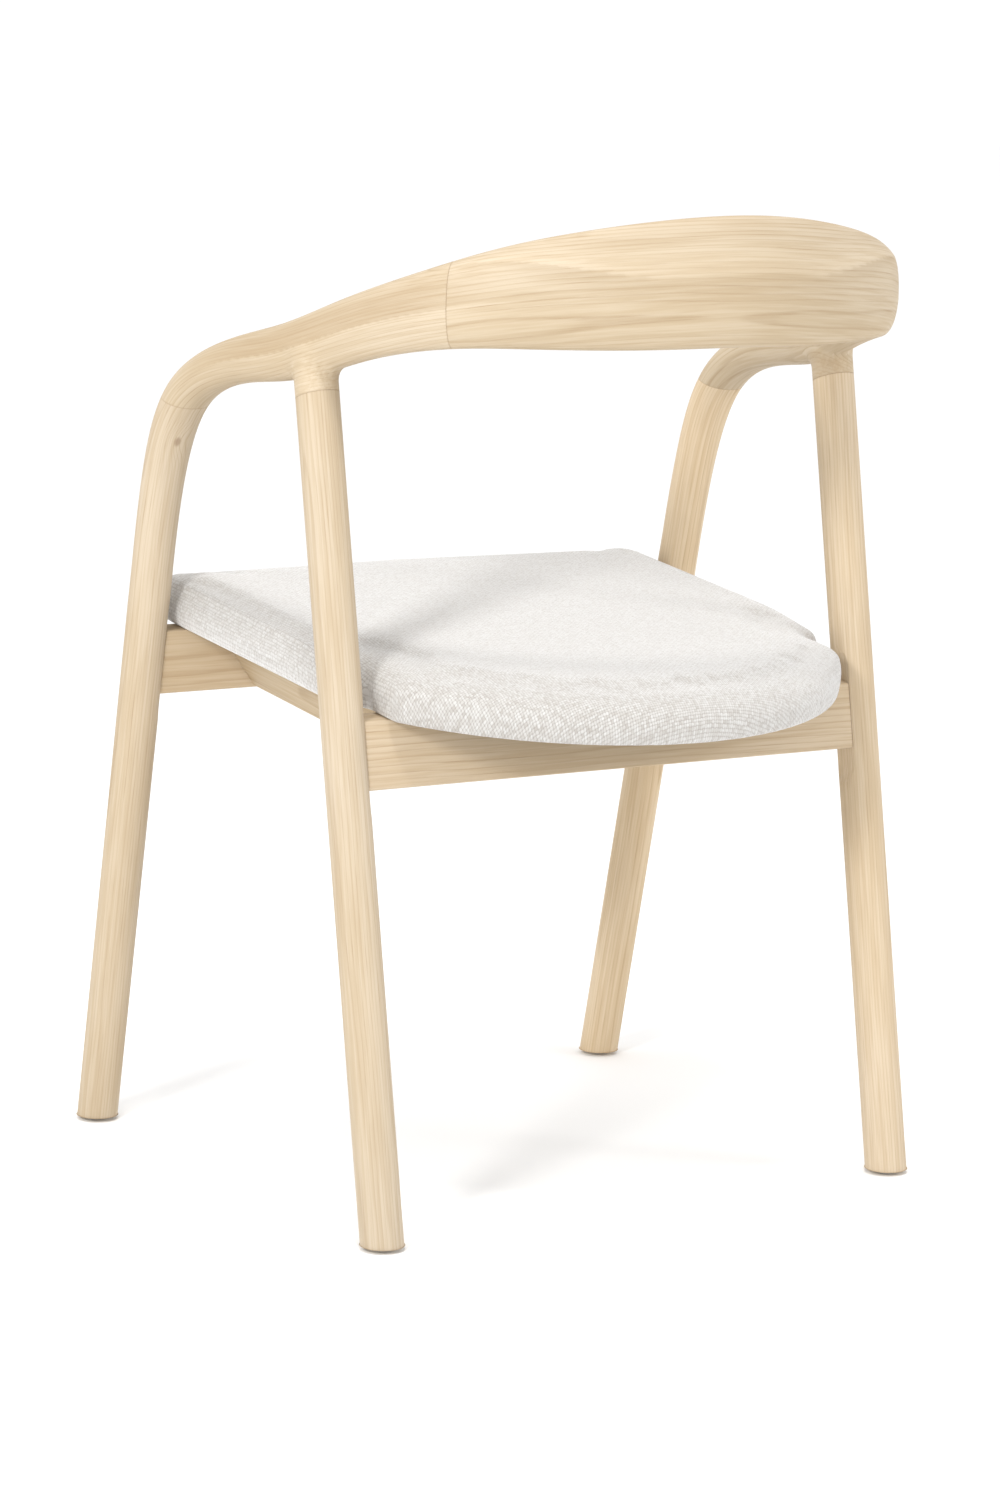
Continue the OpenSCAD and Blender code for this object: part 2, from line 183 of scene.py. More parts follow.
def ring_sections(t, n):
    """Section points, one ring of n for each t, in plan millimetres."""
    t = np.asarray(t, float)[:, None]
    a = 2 * np.pi * (np.arange(n) + 0.5) / n
    e = 2 / squareness(t)
    u = np.sign(np.sin(a)) * np.abs(np.sin(a)) ** e
    row, _, out, up = ring_frame(t[:, 0])
    side = np.where(np.cos(a) > 0, side_factor(t, u), 1)
    high = row[:, 3:4] / 2 * u
    wide = row[:, 4:5] / 2 * np.sign(np.cos(a)) * np.abs(np.cos(a)) ** e * side + lean(t) * high
    return row[:, None, :3] + wide[..., None] * out[:, None] + high[..., None] * up[:, None]


T_LOW, T_HIGH = -3.6, 9.0
FINE_T = np.linspace(T_LOW, T_HIGH, 1261)
FINE_POINTS = ring_at(FINE_T)[0][:, :3]
FINE_S = np.concatenate([[0], np.cumsum(np.linalg.norm(np.diff(FINE_POINTS, axis=0), axis=1))])
FINE_S -= np.interp(0, FINE_T, FINE_S)


def spans(count, size):
    """Slices that cover count items, to keep large distance tables small."""
    return [slice(i, i + size) for i in range(0, count, size)]


def ring_coords(points, low=T_LOW, high=T_HIGH):
    """For points near the rail: t, the distances out, up and along it, and the rail's row there."""
    coarse = np.linspace(low, high, 90)
    centres = ring_at(coarse)[0][:, :3]
    t = np.empty(len(points))
    for span in spans(len(points), 40000):
        t[span] = coarse[((points[span][:, None] - centres[None]) ** 2).sum(-1).argmin(1)]
    for _ in range(12):
        row, rate = ring_at(t)
        step = ((points - row[:, :3]) * rate[:, :3]).sum(1) / (rate[:, :3] ** 2).sum(1)
        t = np.clip(t + 0.8 * step, low, high)
    row, along, out, up = ring_frame(t)
    gap = points - row[:, :3]
    past = (gap * along).sum(1)
    return t, (gap * out).sum(1), (gap * up).sum(1), np.interp(t, FINE_T, FINE_S) + past, row


# Meshes ----------

SHARP = 35
MANY_SIDES = 20
END_EASE = 0.35
FOOT_EASE = 1.1


def new_object(name, points, faces):
    """A smooth-shaded mesh object from plan millimetres."""
    mesh = bpy.data.meshes.new(name)
    mesh.from_pydata(((np.asarray(points) + SHIFT) * MM).tolist(), [], faces)
    mesh.update()
    mesh.polygons.foreach_set("use_smooth", [True] * len(mesh.polygons))
    piece = bpy.data.objects.new(name, mesh)
    scene.collection.objects.link(piece)
    return piece


def plan_points(piece):
    """A piece's vertices, in plan millimetres."""
    co = np.empty(len(piece.data.vertices) * 3)
    piece.data.vertices.foreach_get("co", co)
    return co.reshape(-1, 3) / MM - SHIFT


def set_vectors(piece, name, values):
    """Stores a vector for each vertex, given in millimetres, for the materials to read."""
    layer = piece.data.attributes.new(name, "FLOAT_VECTOR", "POINT")
    layer.data.foreach_set("vector", (np.asarray(values) * MM).astype(np.float32).ravel())


def edit(piece, work=None, sharp=SHARP):
    """Runs work, if any, on the piece's bmesh, then sets normals and sharp edges."""
    bm = bmesh.new()
    bm.from_mesh(piece.data)
    if work:
        work(bm)
    bmesh.ops.recalc_face_normals(bm, faces=bm.faces)
    for face in bm.faces:
        face.smooth = True
    bm.to_mesh(piece.data)
    bm.free()
    piece.data.set_sharp_from_angle(angle=math.radians(sharp))


def tube(name, rings):
    """A closed skin through rings of equal length, with a face at each end."""
    m, n = rings.shape[:2]
    faces = [
        (i * n + k, i * n + (k + 1) % n, (i + 1) * n + (k + 1) % n, (i + 1) * n + k)
        for i in range(m - 1)
        for k in range(n)
    ]
    faces += [tuple(range(n - 1, -1, -1)), tuple((m - 1) * n + k for k in range(n))]
    return new_object(name, rings.reshape(-1, 3), faces)


def round_over(bm, edges, offset, segments=2):
    bmesh.ops.bevel(
        bm, geom=list(edges), offset=offset * MM, segments=segments, affect="EDGES", profile=0.5
    )


def ease_ends(bm):
    """Rounds the rim of every end face a little."""
    rims = dict.fromkeys(e for f in bm.faces if len(f.verts) > MANY_SIDES for e in f.edges)
    round_over(bm, rims, END_EASE)


def cut(piece, at, normal, reach=None):
    """Cuts away what lies on the normal's side of a plane, within reach of it, and closes the end."""

    def work(bm):
        spot = Vector((np.asarray(at) + SHIFT) * MM)
        faces = [f for f in bm.faces if reach is None or (f.verts[0].co - spot).length < reach * MM]
        # A dict and not a set: it keeps the order, so that every run cuts alike
        geometry = dict.fromkeys(g for f in faces for g in (f, *f.verts, *f.edges))
        done = bmesh.ops.bisect_plane(
            bm,
            geom=list(geometry),
            plane_co=spot,
            plane_no=Vector(normal),
            clear_outer=True,
            dist=1e-7,
        )
        rim = [e for e in done["geom_cut"] if isinstance(e, bmesh.types.BMEdge)]
        bmesh.ops.edgeloop_fill(bm, edges=rim)

    edit(piece, work)


def block(name, corners, ease):
    """A convex block from its corners, with eased edges."""
    piece = new_object(name, corners, [])

    def work(bm):
        bmesh.ops.convex_hull(bm, input=bm.verts)
        flat = math.radians(1)
        bmesh.ops.dissolve_limit(bm, angle_limit=flat, verts=bm.verts, edges=bm.edges)
        round_over(bm, bm.edges, ease, 3)

    edit(piece, work, 40)
    return piece


def take_away(piece, cutter):
    """Cuts one closed mesh out of another."""
    change = piece.modifiers.new("cut", "BOOLEAN")
    change.operation = "DIFFERENCE"
    change.solver = "EXACT"
    change.object = cutter
    bake_modifiers(piece)
    bpy.data.objects.remove(cutter)
    piece.data.set_sharp_from_angle(angle=math.radians(SHARP))


def bake_modifiers(piece):
    """Keeps the shape that the modifiers give, and takes the modifiers off."""
    bpy.context.view_layer.update()
    shown = piece.evaluated_get(bpy.context.evaluated_depsgraph_get())
    mesh = bpy.data.meshes.new_from_object(shown)
    piece.modifiers.clear()
    piece.data = mesh


def mirrored(piece, name):
    """The right-hand copy of a left-hand piece."""
    twin = piece.copy()
    twin.name = name
    twin.data = piece.data.copy()
    twin.data.name = name
    scene.collection.objects.link(twin)
    co = np.empty(len(twin.data.vertices) * 3)
    twin.data.vertices.foreach_get("co", co)
    co[0::3] *= -1
    twin.data.vertices.foreach_set("co", co)
    twin.data.flip_normals()
    twin.data.update()
    return twin


def grid_points(axes):
    return np.stack(np.meshgrid(*axes, indexing="ij"), -1).reshape(-1, len(axes))


def on_axes(values, axes):
    return values.reshape([len(a) for a in axes])


def surface_net(values, low, step):
    """A quad skin where the values on a grid change sign."""
    shape = np.array(values.shape)
    total = np.zeros(tuple(shape - 1) + (3,))
    count = np.zeros(tuple(shape - 1))
    crossings = []
    for axis in range(3):
        first = np.take(values, range(shape[axis] - 1), axis)
        second = np.take(values, range(1, shape[axis]), axis)
        index = np.argwhere((first < 0) != (second < 0))
        a = first[tuple(index.T)]
        b = second[tuple(index.T)]
        spot = index.astype(float)
        spot[:, axis] += a / (a - b)
        others = [k for k in range(3) if k != axis]
        cells = []
        for offset in ((-1, -1), (0, -1), (0, 0), (-1, 0)):
            cell = index.copy()
            cell[:, others[0]] += offset[0]
            cell[:, others[1]] += offset[1]
            cells.append(cell)
        inner = np.all([(c >= 0).all(1) & (c < shape - 1).all(1) for c in cells], axis=0)
        for cell in cells:
            np.add.at(total, tuple(cell[inner].T), spot[inner])
            np.add.at(count, tuple(cell[inner].T), 1)
        crossings.append(([c[inner] for c in cells], (a < 0)[inner], axis))
    number = np.full(count.shape, -1)
    number[count > 0] = np.arange((count > 0).sum())
    points = total[count > 0] / count[count > 0][:, None] * step + low
    faces = []
    for cells, inside_first, axis in crossings:
        quads = np.stack([number[tuple(c.T)] for c in cells], 1)
        flip = inside_first == (axis == 1)
        quads[flip] = quads[flip][:, ::-1]
        faces += quads.tolist()
    return points, faces


def pull_on(points, field, passes=4, h=0.05):
    """Moves points on to a field's zero surface."""
    for _ in range(passes):
        here = field(points)
        slope = np.stack([(field(points + d) - field(points - d)) / (2 * h) for d in np.eye(3) * h], 1)
        points = points - (here / np.maximum((slope**2).sum(1), 0.05))[:, None] * slope
    return points


# The arm: the curved rail with a stub grown out of it for the rear leg ----------

BACK_JOINT_AT = ring_frame(BACK_JOINT_T)[0][:3]
BACK_JOINT_WAY = unit(ring_frame(BACK_JOINT_T)[1] * [1, 1, 0])
ELBOW_JOINT_AT = ring_frame(ELBOW_JOINT_T)[0][:3]
ELBOW_JOINT_UP = unit(np.array([0, -ELBOW_JOINT_SLOPE, 1.0]))
NECK_JOINT_UP = unit(np.array([0, -NECK_JOINT_SLOPE, 1.0]))
REAR_UP = unit(np.array([REAR_SLOPE[0], REAR_SLOPE[1], 1.0]))
FRONT_UP = unit(np.array([FRONT_SLOPE[0], FRONT_SLOPE[1], 1.0]))
FILLET = 9.0
STUB_TOP = 34.0
ARM_STEP = 2.0
RAIL_REACH = 46.0
JOINT_REACH = 45.0
FAR = 9.0


def stub_coords(points):
    """Heights along the rear leg's axis from its top joint, and distances from the axis."""
    gap = points - rear_axis(NECK_Z)
    rise = gap @ REAR_UP
    return rise, np.linalg.norm(gap - rise[:, None] * REAR_UP, axis=1)


def rail_field(points):
    """Distance from the rail's surface along the section's radius, negative inside."""
    t, wide, high, _, row = ring_coords(points, 2.2, 7.7)
    n = squareness(t)
    u = high / (row[:, 3] / 2)
    across = wide - lean(t) * high
    side = np.where(across > 0, side_factor(t, np.clip(u, -1, 1)), 1)
    ratio = (np.abs(across / (row[:, 4] / 2 * side)) ** n + np.abs(u) ** n) ** (1 / n)
    reach = np.hypot(wide, high)
    return reach - reach / np.maximum(ratio, 1e-3)


def arm_field(points):
    """The rail and the stub, with a fillet between them."""
    rail = rail_field(points)
    rise, off = stub_coords(points)
    stub = np.maximum(off - LEG_D / 2, rise - STUB_TOP)
    blend = np.maximum(FILLET - np.abs(rail - stub), 0) / FILLET
    return np.minimum(rail, stub) - blend**2 * FILLET / 4


def make_arm():
    """The arm's skin is found on a grid, but only near the rail and the stub."""
    t = np.linspace(2.45, 7.4, 60)
    around = ring_sections(t, 24).reshape(-1, 3)
    low = around.min(0) - 3 * ARM_STEP
    high = around.max(0) + 3 * ARM_STEP
    low[2] = min(low[2], NECK_Z - 16)
    axes = [np.arange(low[k], high[k] + ARM_STEP, ARM_STEP) for k in range(3)]
    grid = grid_points(axes)
    values = np.full(len(grid), FAR)
    centres = ring_at(t)[0][:, :3]
    near = np.zeros(len(grid), bool)
    for span in spans(len(grid), 60000):
        near[span] = ((grid[span][:, None] - centres[None]) ** 2).sum(-1).min(1) < RAIL_REACH**2
    rise, off = stub_coords(grid)
    near |= (off < LEG_D) & (rise > -18) & (rise < STUB_TOP + 6)
    values[near] = arm_field(grid[near])
    points, faces = surface_net(on_axes(values, axes), low, ARM_STEP)
    points = pull_on(points, arm_field)
    piece = new_object("arm_left_shaped", points, faces)
    cut(piece, BACK_JOINT_AT, -BACK_JOINT_WAY)
    cut(piece, ELBOW_JOINT_AT, -ELBOW_JOINT_UP, JOINT_REACH)
    cut(piece, rear_axis(NECK_Z), -NECK_JOINT_UP, JOINT_REACH)

    def keep_largest(bm):
        """Drops the loose crumbs that the cuts leave."""
        left = set(bm.verts)
        parts = []
        while left:
            part, queue = set(), [left.pop()]
            while queue:
                vert = queue.pop()
                part.add(vert)
                for edge in vert.link_edges:
                    other = edge.other_vert(vert)
                    if other in left:
                        left.discard(other)
                        queue.append(other)
            parts.append(part)
        largest = max(parts, key=len)
        bmesh.ops.delete(bm, geom=[v for v in bm.verts if v not in largest], context="VERTS")

    edit(piece, keep_largest)
    return piece


# Legs and the back ----------


LEG_SIDES = 96
BACK_SIDES = 120
BELOW_FLOOR = -12
FLAT_LOW = -10


def leg_cutter(base, up, low, high):
    """The milled flat's waste: a slab with a round run-out at each end, beside a leg."""
    edge = []
    for centre, first, last in ((high, -90, 0), (low, 0, 90)):
        for a in np.radians(np.linspace(last, first, 49)):
            edge.append((RUN_OUT_R * (math.cos(a) - 1) - FLAT_X, centre - RUN_OUT_R * math.sin(a)))
    out = unit(np.array([up[2], 0, -up[0]]))
    across = np.cross(up, out)
    n = len(edge)
    points = [base + x * out + z * up + y * across for y in (-LEG_D, LEG_D) for x, z in edge]
    faces = [(k, (k + 1) % n, n + (k + 1) % n, n + k) for k in range(n)]
    faces += [tuple(range(n - 1, -1, -1)), tuple(range(n, 2 * n))]
    cutter = new_object("cutter", points, faces)
    edit(cutter)
    return cutter


def leg_ring(centre, up):
    """Points round a straight leg, square to its axis."""
    out = unit(np.array([up[2], 0, -up[0]]))
    fore = np.cross(out, up)
    a = 2 * np.pi * (np.arange(LEG_SIDES) + 0.5) / LEG_SIDES
    return centre + LEG_D / 2 * (np.cos(a)[:, None] * out + np.sin(a)[:, None] * fore)


def make_front_leg():
    rings = list(ring_sections(np.linspace(ELBOW_JOINT_T - JOINT_OVER_T, LEG_TOP_T, 97), LEG_SIDES))
    for z in (440, 300, 150, BELOW_FLOOR):
        rings.append(leg_ring(front_axis(z), FRONT_UP))
    leg = tube("front_leg_left_shaped", np.array(rings))
    cut(leg, ELBOW_JOINT_AT, ELBOW_JOINT_UP)
    return finish_leg(leg, front_axis(FRONT_RAIL_Z), FRONT_UP, 66)


def make_rear_leg():
    heights = (NECK_Z + 12, 560, 440, 300, 150, BELOW_FLOOR)
    rings = [leg_ring(rear_axis(z), REAR_UP) for z in heights]
    leg = tube("rear_leg_left_shaped", np.array(rings))
    cut(leg, rear_axis(NECK_Z), NECK_JOINT_UP)
    return finish_leg(leg, rear_axis(REAR_RAIL_Z), REAR_UP, 64)


def finish_leg(leg, base, up, flat_high):
    """Trims and eases the foot and the top, and mills the flat where the rail meets the leg."""
    cut(leg, [0, 0, FOOT_Z], (0, 0, -1))
    edit(leg, ease_ends)

    def ease_foot(bm):
        ends = [f for f in bm.faces if len(f.verts) > MANY_SIDES]
        foot = min(ends, key=lambda f: f.calc_center_median().z)
        round_over(bm, foot.edges, FOOT_EASE)

    edit(leg, ease_foot)
    take_away(leg, leg_cutter(base, up, FLAT_LOW, flat_high))
    return leg


def make_back():
    over = BACK_JOINT_T + JOINT_OVER_T
    back = tube("back_rail_shaped", ring_sections(np.linspace(-over, over, 191), BACK_SIDES))
    cut(back, BACK_JOINT_AT, BACK_JOINT_WAY)
    cut(back, BACK_JOINT_AT * MIRROR, BACK_JOINT_WAY * MIRROR)
    edit(back, ease_ends)
    return back


# Rails ----------

FRONT_LEAN = math.atan(FRONT_SLOPE[1])
REAR_LEAN = math.atan(REAR_SLOPE[1])
SEAT_ORIGIN = np.array([0, 0, SEAT_Z])
SEAT_UP = np.array([0, math.sin(SEAT_TILT), math.cos(SEAT_TILT)])
SEAT_BACK = np.array([0, math.cos(SEAT_TILT), -math.sin(SEAT_TILT)])


def on_seat(x, y, z):
    """From the seat frame's own axes to plan millimetres."""
    x, y, z = (np.asarray(v, float)[..., None] for v in (x, y, z))
    return SEAT_ORIGIN + x * RIGHT + y * SEAT_BACK + z * SEAT_UP


def cross_rail(name, axis, up_lean, base_z, half):
    """A rail between two legs, standing along their lean, its top cut to the seat's slope."""
    base = np.array([0, axis(base_z)[1], base_z])
    up = np.array([0, math.sin(up_lean), math.cos(up_lean)])
    fore = np.array([0, math.cos(up_lean), -math.sin(up_lean)])
    corners = []
    for y in (-RAIL_T / 2, RAIL_T / 2):
        foot = base + y * fore
        rise = ((SEAT_ORIGIN - foot) @ SEAT_UP) / (up @ SEAT_UP)
        for x in (-half, half):
            corners += [foot + [x, 0, 0], foot + rise * up + [x, 0, 0]]
    return block(name, corners, CROSS_RAIL_EASE)


def make_side_rail(name):
    """The left side rail: its outer face slopes, and its ends meet the cross rails' faces."""
    section = [
        (SIDE_RAIL_X - RAIL_T, -SIDE_RAIL_H),
        (SIDE_RAIL_X, -SIDE_RAIL_H),
        (SIDE_RAIL_X + SIDE_RAIL_FLARE, 0),
        (SIDE_RAIL_X - RAIL_T, 0),
    ]
    corners = []
    for axis, rail_lean, base_z, side in (
        (front_axis, FRONT_LEAN, FRONT_RAIL_Z, 1),
        (rear_axis, REAR_LEAN, REAR_RAIL_Z, -1),
    ):
        base = np.array([0, axis(base_z)[1], base_z])
        fore = np.array([0, math.cos(rail_lean), -math.sin(rail_lean)])
        for x, z in section:
            start = on_seat(x, 0, z)
            y = (side * RAIL_T / 2 - (start - base) @ fore) / (SEAT_BACK @ fore)
            corners.append(start + y * SEAT_BACK)
    return block(name, corners, SIDE_RAIL_EASE)


# The seat pad ----------

PAD_FRONT_X, PAD_REAR_X, PAD_LOBE_X = 226.0, 222.0, 205.0
PAD_FRONT_Y, PAD_REAR_Y, PAD_BACK_R = -196.0, 288.0, 240.0
PAD_T = 40.0
STEP_Y = rear_axis(SEAT_Z - 17)[1] - LEG_D / 2 - 9


def rounded_path(corners):
    """A closed path with an arc of the given radius at each corner (x, y, radius)."""
    points = []
    n = len(corners)
    for k in range(n):
        before, here, after = (np.array(corners[(k + d) % n][:2], float) for d in (-1, 0, 1))
        r = corners[k][2]
        a, b = unit(before - here), unit(after - here)
        if r <= 0:
            points.append(here)
            continue
        half = math.acos(np.clip(a @ b, -1, 1)) / 2
        reach = r / math.tan(half)
        centre = here + unit(a + b) * r / math.sin(half)
        p, q = here + a * reach - centre, here + b * reach - centre
        turn = math.atan2(p[0] * q[1] - p[1] * q[0], p @ q)
        for s in np.linspace(0, 1, max(5, int(abs(turn) * r / 4))):
            c, d = math.cos(turn * s), math.sin(turn * s)
            points.append(centre + [c * p[0] - d * p[1], d * p[0] + c * p[1]])
    return np.array(points)


def pad_path():
    """The pad's outline: straight sides that step in behind the rear legs, and a round back."""
    arc_y = PAD_REAR_Y - PAD_BACK_R
    meet = arc_y + math.sqrt(PAD_BACK_R**2 - PAD_LOBE_X**2)
    half = [
        (PAD_FRONT_X, PAD_FRONT_Y + 9, 46),
        (PAD_REAR_X, STEP_Y - 4, 13),
        (PAD_LOBE_X, STEP_Y + 4, 13),
        (PAD_LOBE_X, meet, 16),
    ]
    arc = [
        (PAD_BACK_R * math.sin(a), arc_y + PAD_BACK_R * math.cos(a), 0)
        for a in np.linspace(math.asin(PAD_LOBE_X / PAD_BACK_R) - 0.09, 0.02, 22)
    ]
    right = [(0, PAD_FRONT_Y, 0)] + half + arc
    return rounded_path(right + [(-x, y, r) for x, y, r in right[:0:-1]])


PAD_PATH = pad_path()


def pad_edge(xy):
    """Signed distance from the pad's outline (negative inside) and the outward direction."""
    a = PAD_PATH
    b = np.roll(a, -1, 0)
    best = np.full(len(xy), 1e9)
    spot = np.zeros_like(xy)
    inside = np.zeros(len(xy), bool)
    square = np.zeros_like(xy)
    for p, q in zip(a, b):
        d = q - p
        s = np.clip(((xy - p) @ d) / (d @ d), 0, 1)
        near = p + s[:, None] * d
        gap = ((xy - near) ** 2).sum(1)
        closer = gap < best
        best[closer] = gap[closer]
        spot[closer] = near[closer]
        square[closer] = unit(np.array([d[1], -d[0]]))
        crosses = (p[1] > xy[:, 1]) != (q[1] > xy[:, 1])
        with np.errstate(divide="ignore", invalid="ignore"):
            at = (q[0] - p[0]) * (xy[:, 1] - p[1]) / (q[1] - p[1]) + p[0]
        inside ^= crosses & (xy[:, 0] < at)
    distance = np.sqrt(best) * np.where(inside, -1, 1)
    away = np.where(inside[:, None], spot - xy, xy - spot)
    far = np.abs(distance)[:, None]
    return distance, np.where(far > 0.5, away / np.maximum(far, 1e-6), square)


TOP_H, CROWN = 35.5, -2.0
BOARD_TOP = 15.0
BULGE_H = 32.0
HEM_W = 40.2
HEM_RECESS = 1.3


def pad_shape(xy):
    """Distance and way from the outline, roll width, wall height and bulge of the edge nearby."""
    distance, away = pad_edge(xy)
    front = ramp(0.35, 0.9, -away[:, 1])
    rear = ramp(0.35, 0.9, away[:, 1])
    side = 1 - front - rear
    notch = ramp(40, 140, xy[:, 1])
    roll = (18 + 20 * notch) * side + 50 * front + 36 * rear
    wall = (30 - 8 * notch) * side + 13 * front + 18 * rear
    bulge = (6.5 - 6 * notch) * side + 2.0 * (front + rear)
    return distance, away, roll, wall, bulge


def pad_top(inward, roll, wall):
    """Height of the pad's upper skin: a roll up from the wall, then a nearly level top."""
    s = np.clip(inward / roll, 0, 1)
    return wall + (TOP_H - CROWN - wall) * np.sqrt(1 - (1 - s) ** 2.4) + CROWN * ramp(10, 150, inward)


def pad_bottom(inward):
    """Eased at the rim; inside the turned-under hem it steps up to the board."""
    s = np.clip(inward / 4.0, 0, 1)
    return 2.5 * (1 - np.sqrt(1 - (1 - s) ** 2)) + HEM_RECESS * ramp(HEM_W - 2.5, HEM_W - 0.5, inward)


def pad_skin(z, distance, roll, wall, bulge):
    """Zero on the pad's skin, negative inside."""
    inward = -distance
    step = 0.2
    high = pad_top(inward + 0.6 * bulge, roll, wall)
    slope_top = (pad_top(inward + 0.6 * bulge + step, roll, wall) - high) / step
    slope_bottom = (pad_bottom(inward + step) - pad_bottom(inward)) / step
    top = (z - high) / np.sqrt(1 + slope_top**2)
    bottom = (pad_bottom(inward) - z) / np.sqrt(1 + slope_bottom**2)
    out = distance - bulge * np.sin(np.pi * np.clip(z / BULGE_H, 0, 1))
    return np.maximum(np.maximum(top, bottom), out)


def pad_field(local):
    distance, _, roll, wall, bulge = pad_shape(local[:, :2])
    return pad_skin(local[:, 2], distance, roll, wall, bulge)


def seat_local(points):
    gap = points - SEAT_ORIGIN
    return np.stack([gap[:, 0], gap @ SEAT_BACK, gap @ SEAT_UP], 1)


PAD_STEP = 4.0
PAD_SHARP = 80


def make_pad():
    """The pad as one closed skin. The grid's layers are set off a little from the flat faces."""
    ends = ((-250, 250.1), (-208, 300.1), (-6, PAD_T + 8))
    axes = [np.arange(low, high, PAD_STEP) for low, high in ends]
    axes[2] = axes[2] + 0.37
    grid = grid_points(axes)
    shape = pad_shape(grid_points(axes[:2]))
    distance, _, roll, wall, bulge = (np.repeat(v, len(axes[2]), axis=0) for v in shape)
    values = pad_skin(grid[:, 2], distance, roll, wall, bulge)
    points, faces = surface_net(on_axes(values, axes), grid[0], PAD_STEP)
    points = pull_on(points, pad_field, 3, 0.1)
    piece = new_object("seat_pad_cover", on_seat(*points.T), faces)
    edit(piece, sharp=PAD_SHARP)
    return piece


SWELL_CAP = 5.0
CLOTH_FRAMES = 20


def swell(piece):
    """Blows the cover up with cloth simulation; it only rises, by no more than the cap."""
    before = plan_points(piece)
    local = seat_local(before)
    group = piece.vertex_groups.new(name="held")
    for index, z in enumerate(local[:, 2]):
        if z < BOARD_TOP:
            group.add([index], 1.0, "REPLACE")
    change = piece.modifiers.new("cloth", "CLOTH")
    settings = change.settings
    settings.quality = 6
    settings.mass = 0.3
    settings.tension_stiffness = 18
    settings.compression_stiffness = 18
    settings.shear_stiffness = 8
    settings.bending_stiffness = 0.6
    settings.use_pressure = True
    settings.uniform_pressure_force = 4.0
    settings.vertex_group_mass = "held"
    settings.effector_weights.gravity = 0
    change.collision_settings.use_self_collision = False
    scene.frame_start, scene.frame_end = 1, CLOTH_FRAMES
    for step in range(1, CLOTH_FRAMES + 1):
        scene.frame_set(step)
    shown = piece.evaluated_get(bpy.context.evaluated_depsgraph_get())
    after = plan_points(shown)
    piece.modifiers.clear()
    scene.frame_set(1)
    move = after - before
    distance, away = pad_edge(local[:, :2])
    out = away[:, :1] * RIGHT + away[:, 1:] * SEAT_BACK
    move -= np.minimum((move * out).sum(1), 0)[:, None] * out * ramp(-40, -15, distance)[:, None]
    move -= np.minimum(move @ SEAT_UP, 0)[:, None] * SEAT_UP
    size = np.linalg.norm(move, axis=1, keepdims=True)
    move *= np.minimum(1, SWELL_CAP / np.maximum(size, 1e-6))
    piece.data.vertices.foreach_set("co", ((before + move + SHIFT) * MM).ravel())
    piece.data.update()


def cloth_coords(local):
    """The cover's own flat coordinates: it lies straight on top and folds down over the edge."""
    distance, away, roll, _, _ = pad_shape(local[:, :2])
    inward = np.minimum(-distance, roll)
    down = 1.05 * np.hypot(roll - inward, np.maximum(TOP_H + SWELL_CAP - 2 - local[:, 2], 0))
    move = (down - (roll - inward)) * ramp(0, 6, roll - inward)
    return np.column_stack([local[:, :2] + away * np.maximum(move, 0)[:, None], local[:, 2]])


BOLT_AT = ((112, -96), (112, 118), (-112, -96), (-112, 118))
BOLT_HOLE_R = 4.2
CLOTH_Z, CLOTH_T = 0.7, 0.7
CLOTH_SHARP = 60


def make_dust_cover():
    """A thin cloth under the board, hanging a little between the rails, with holes for the bolts."""
    step = np.array([2.5, 2.5, 0.4])
    ends = ((-200, 200.1), (-170, 262), (-0.5, 1.9))
    axes = [np.arange(*pair, size) for pair, size in zip(ends, step)]
    axes[2] = axes[2] + 0.03
    grid = grid_points(axes)

    def field(local):
        distance, _ = pad_edge(local[:, :2])
        holes = [BOLT_HOLE_R - np.hypot(local[:, 0] - x, local[:, 1] - y) for x, y in BOLT_AT]
        sheet = np.abs(local[:, 2] - CLOTH_Z) - CLOTH_T / 2
        return np.max([distance + HEM_W, sheet, *holes], axis=0)

    points, faces = surface_net(on_axes(field(grid), axes), grid[0], step)
    points = pull_on(points, field, 3, 0.05)
    x, y, _ = points.T
    sag = ramp(85, 30, np.abs(x)) * ramp(-120, -60, y) * ramp(145, 85, y)
    points[:, 2] -= 2.2 * sag + 0.5 * sag * np.sin(x / 9 + y / 31)
    piece = new_object("dust_cover_cloth", on_seat(*points.T), faces)
    edit(piece, sharp=CLOTH_SHARP)
    return piece


# Materials ----------


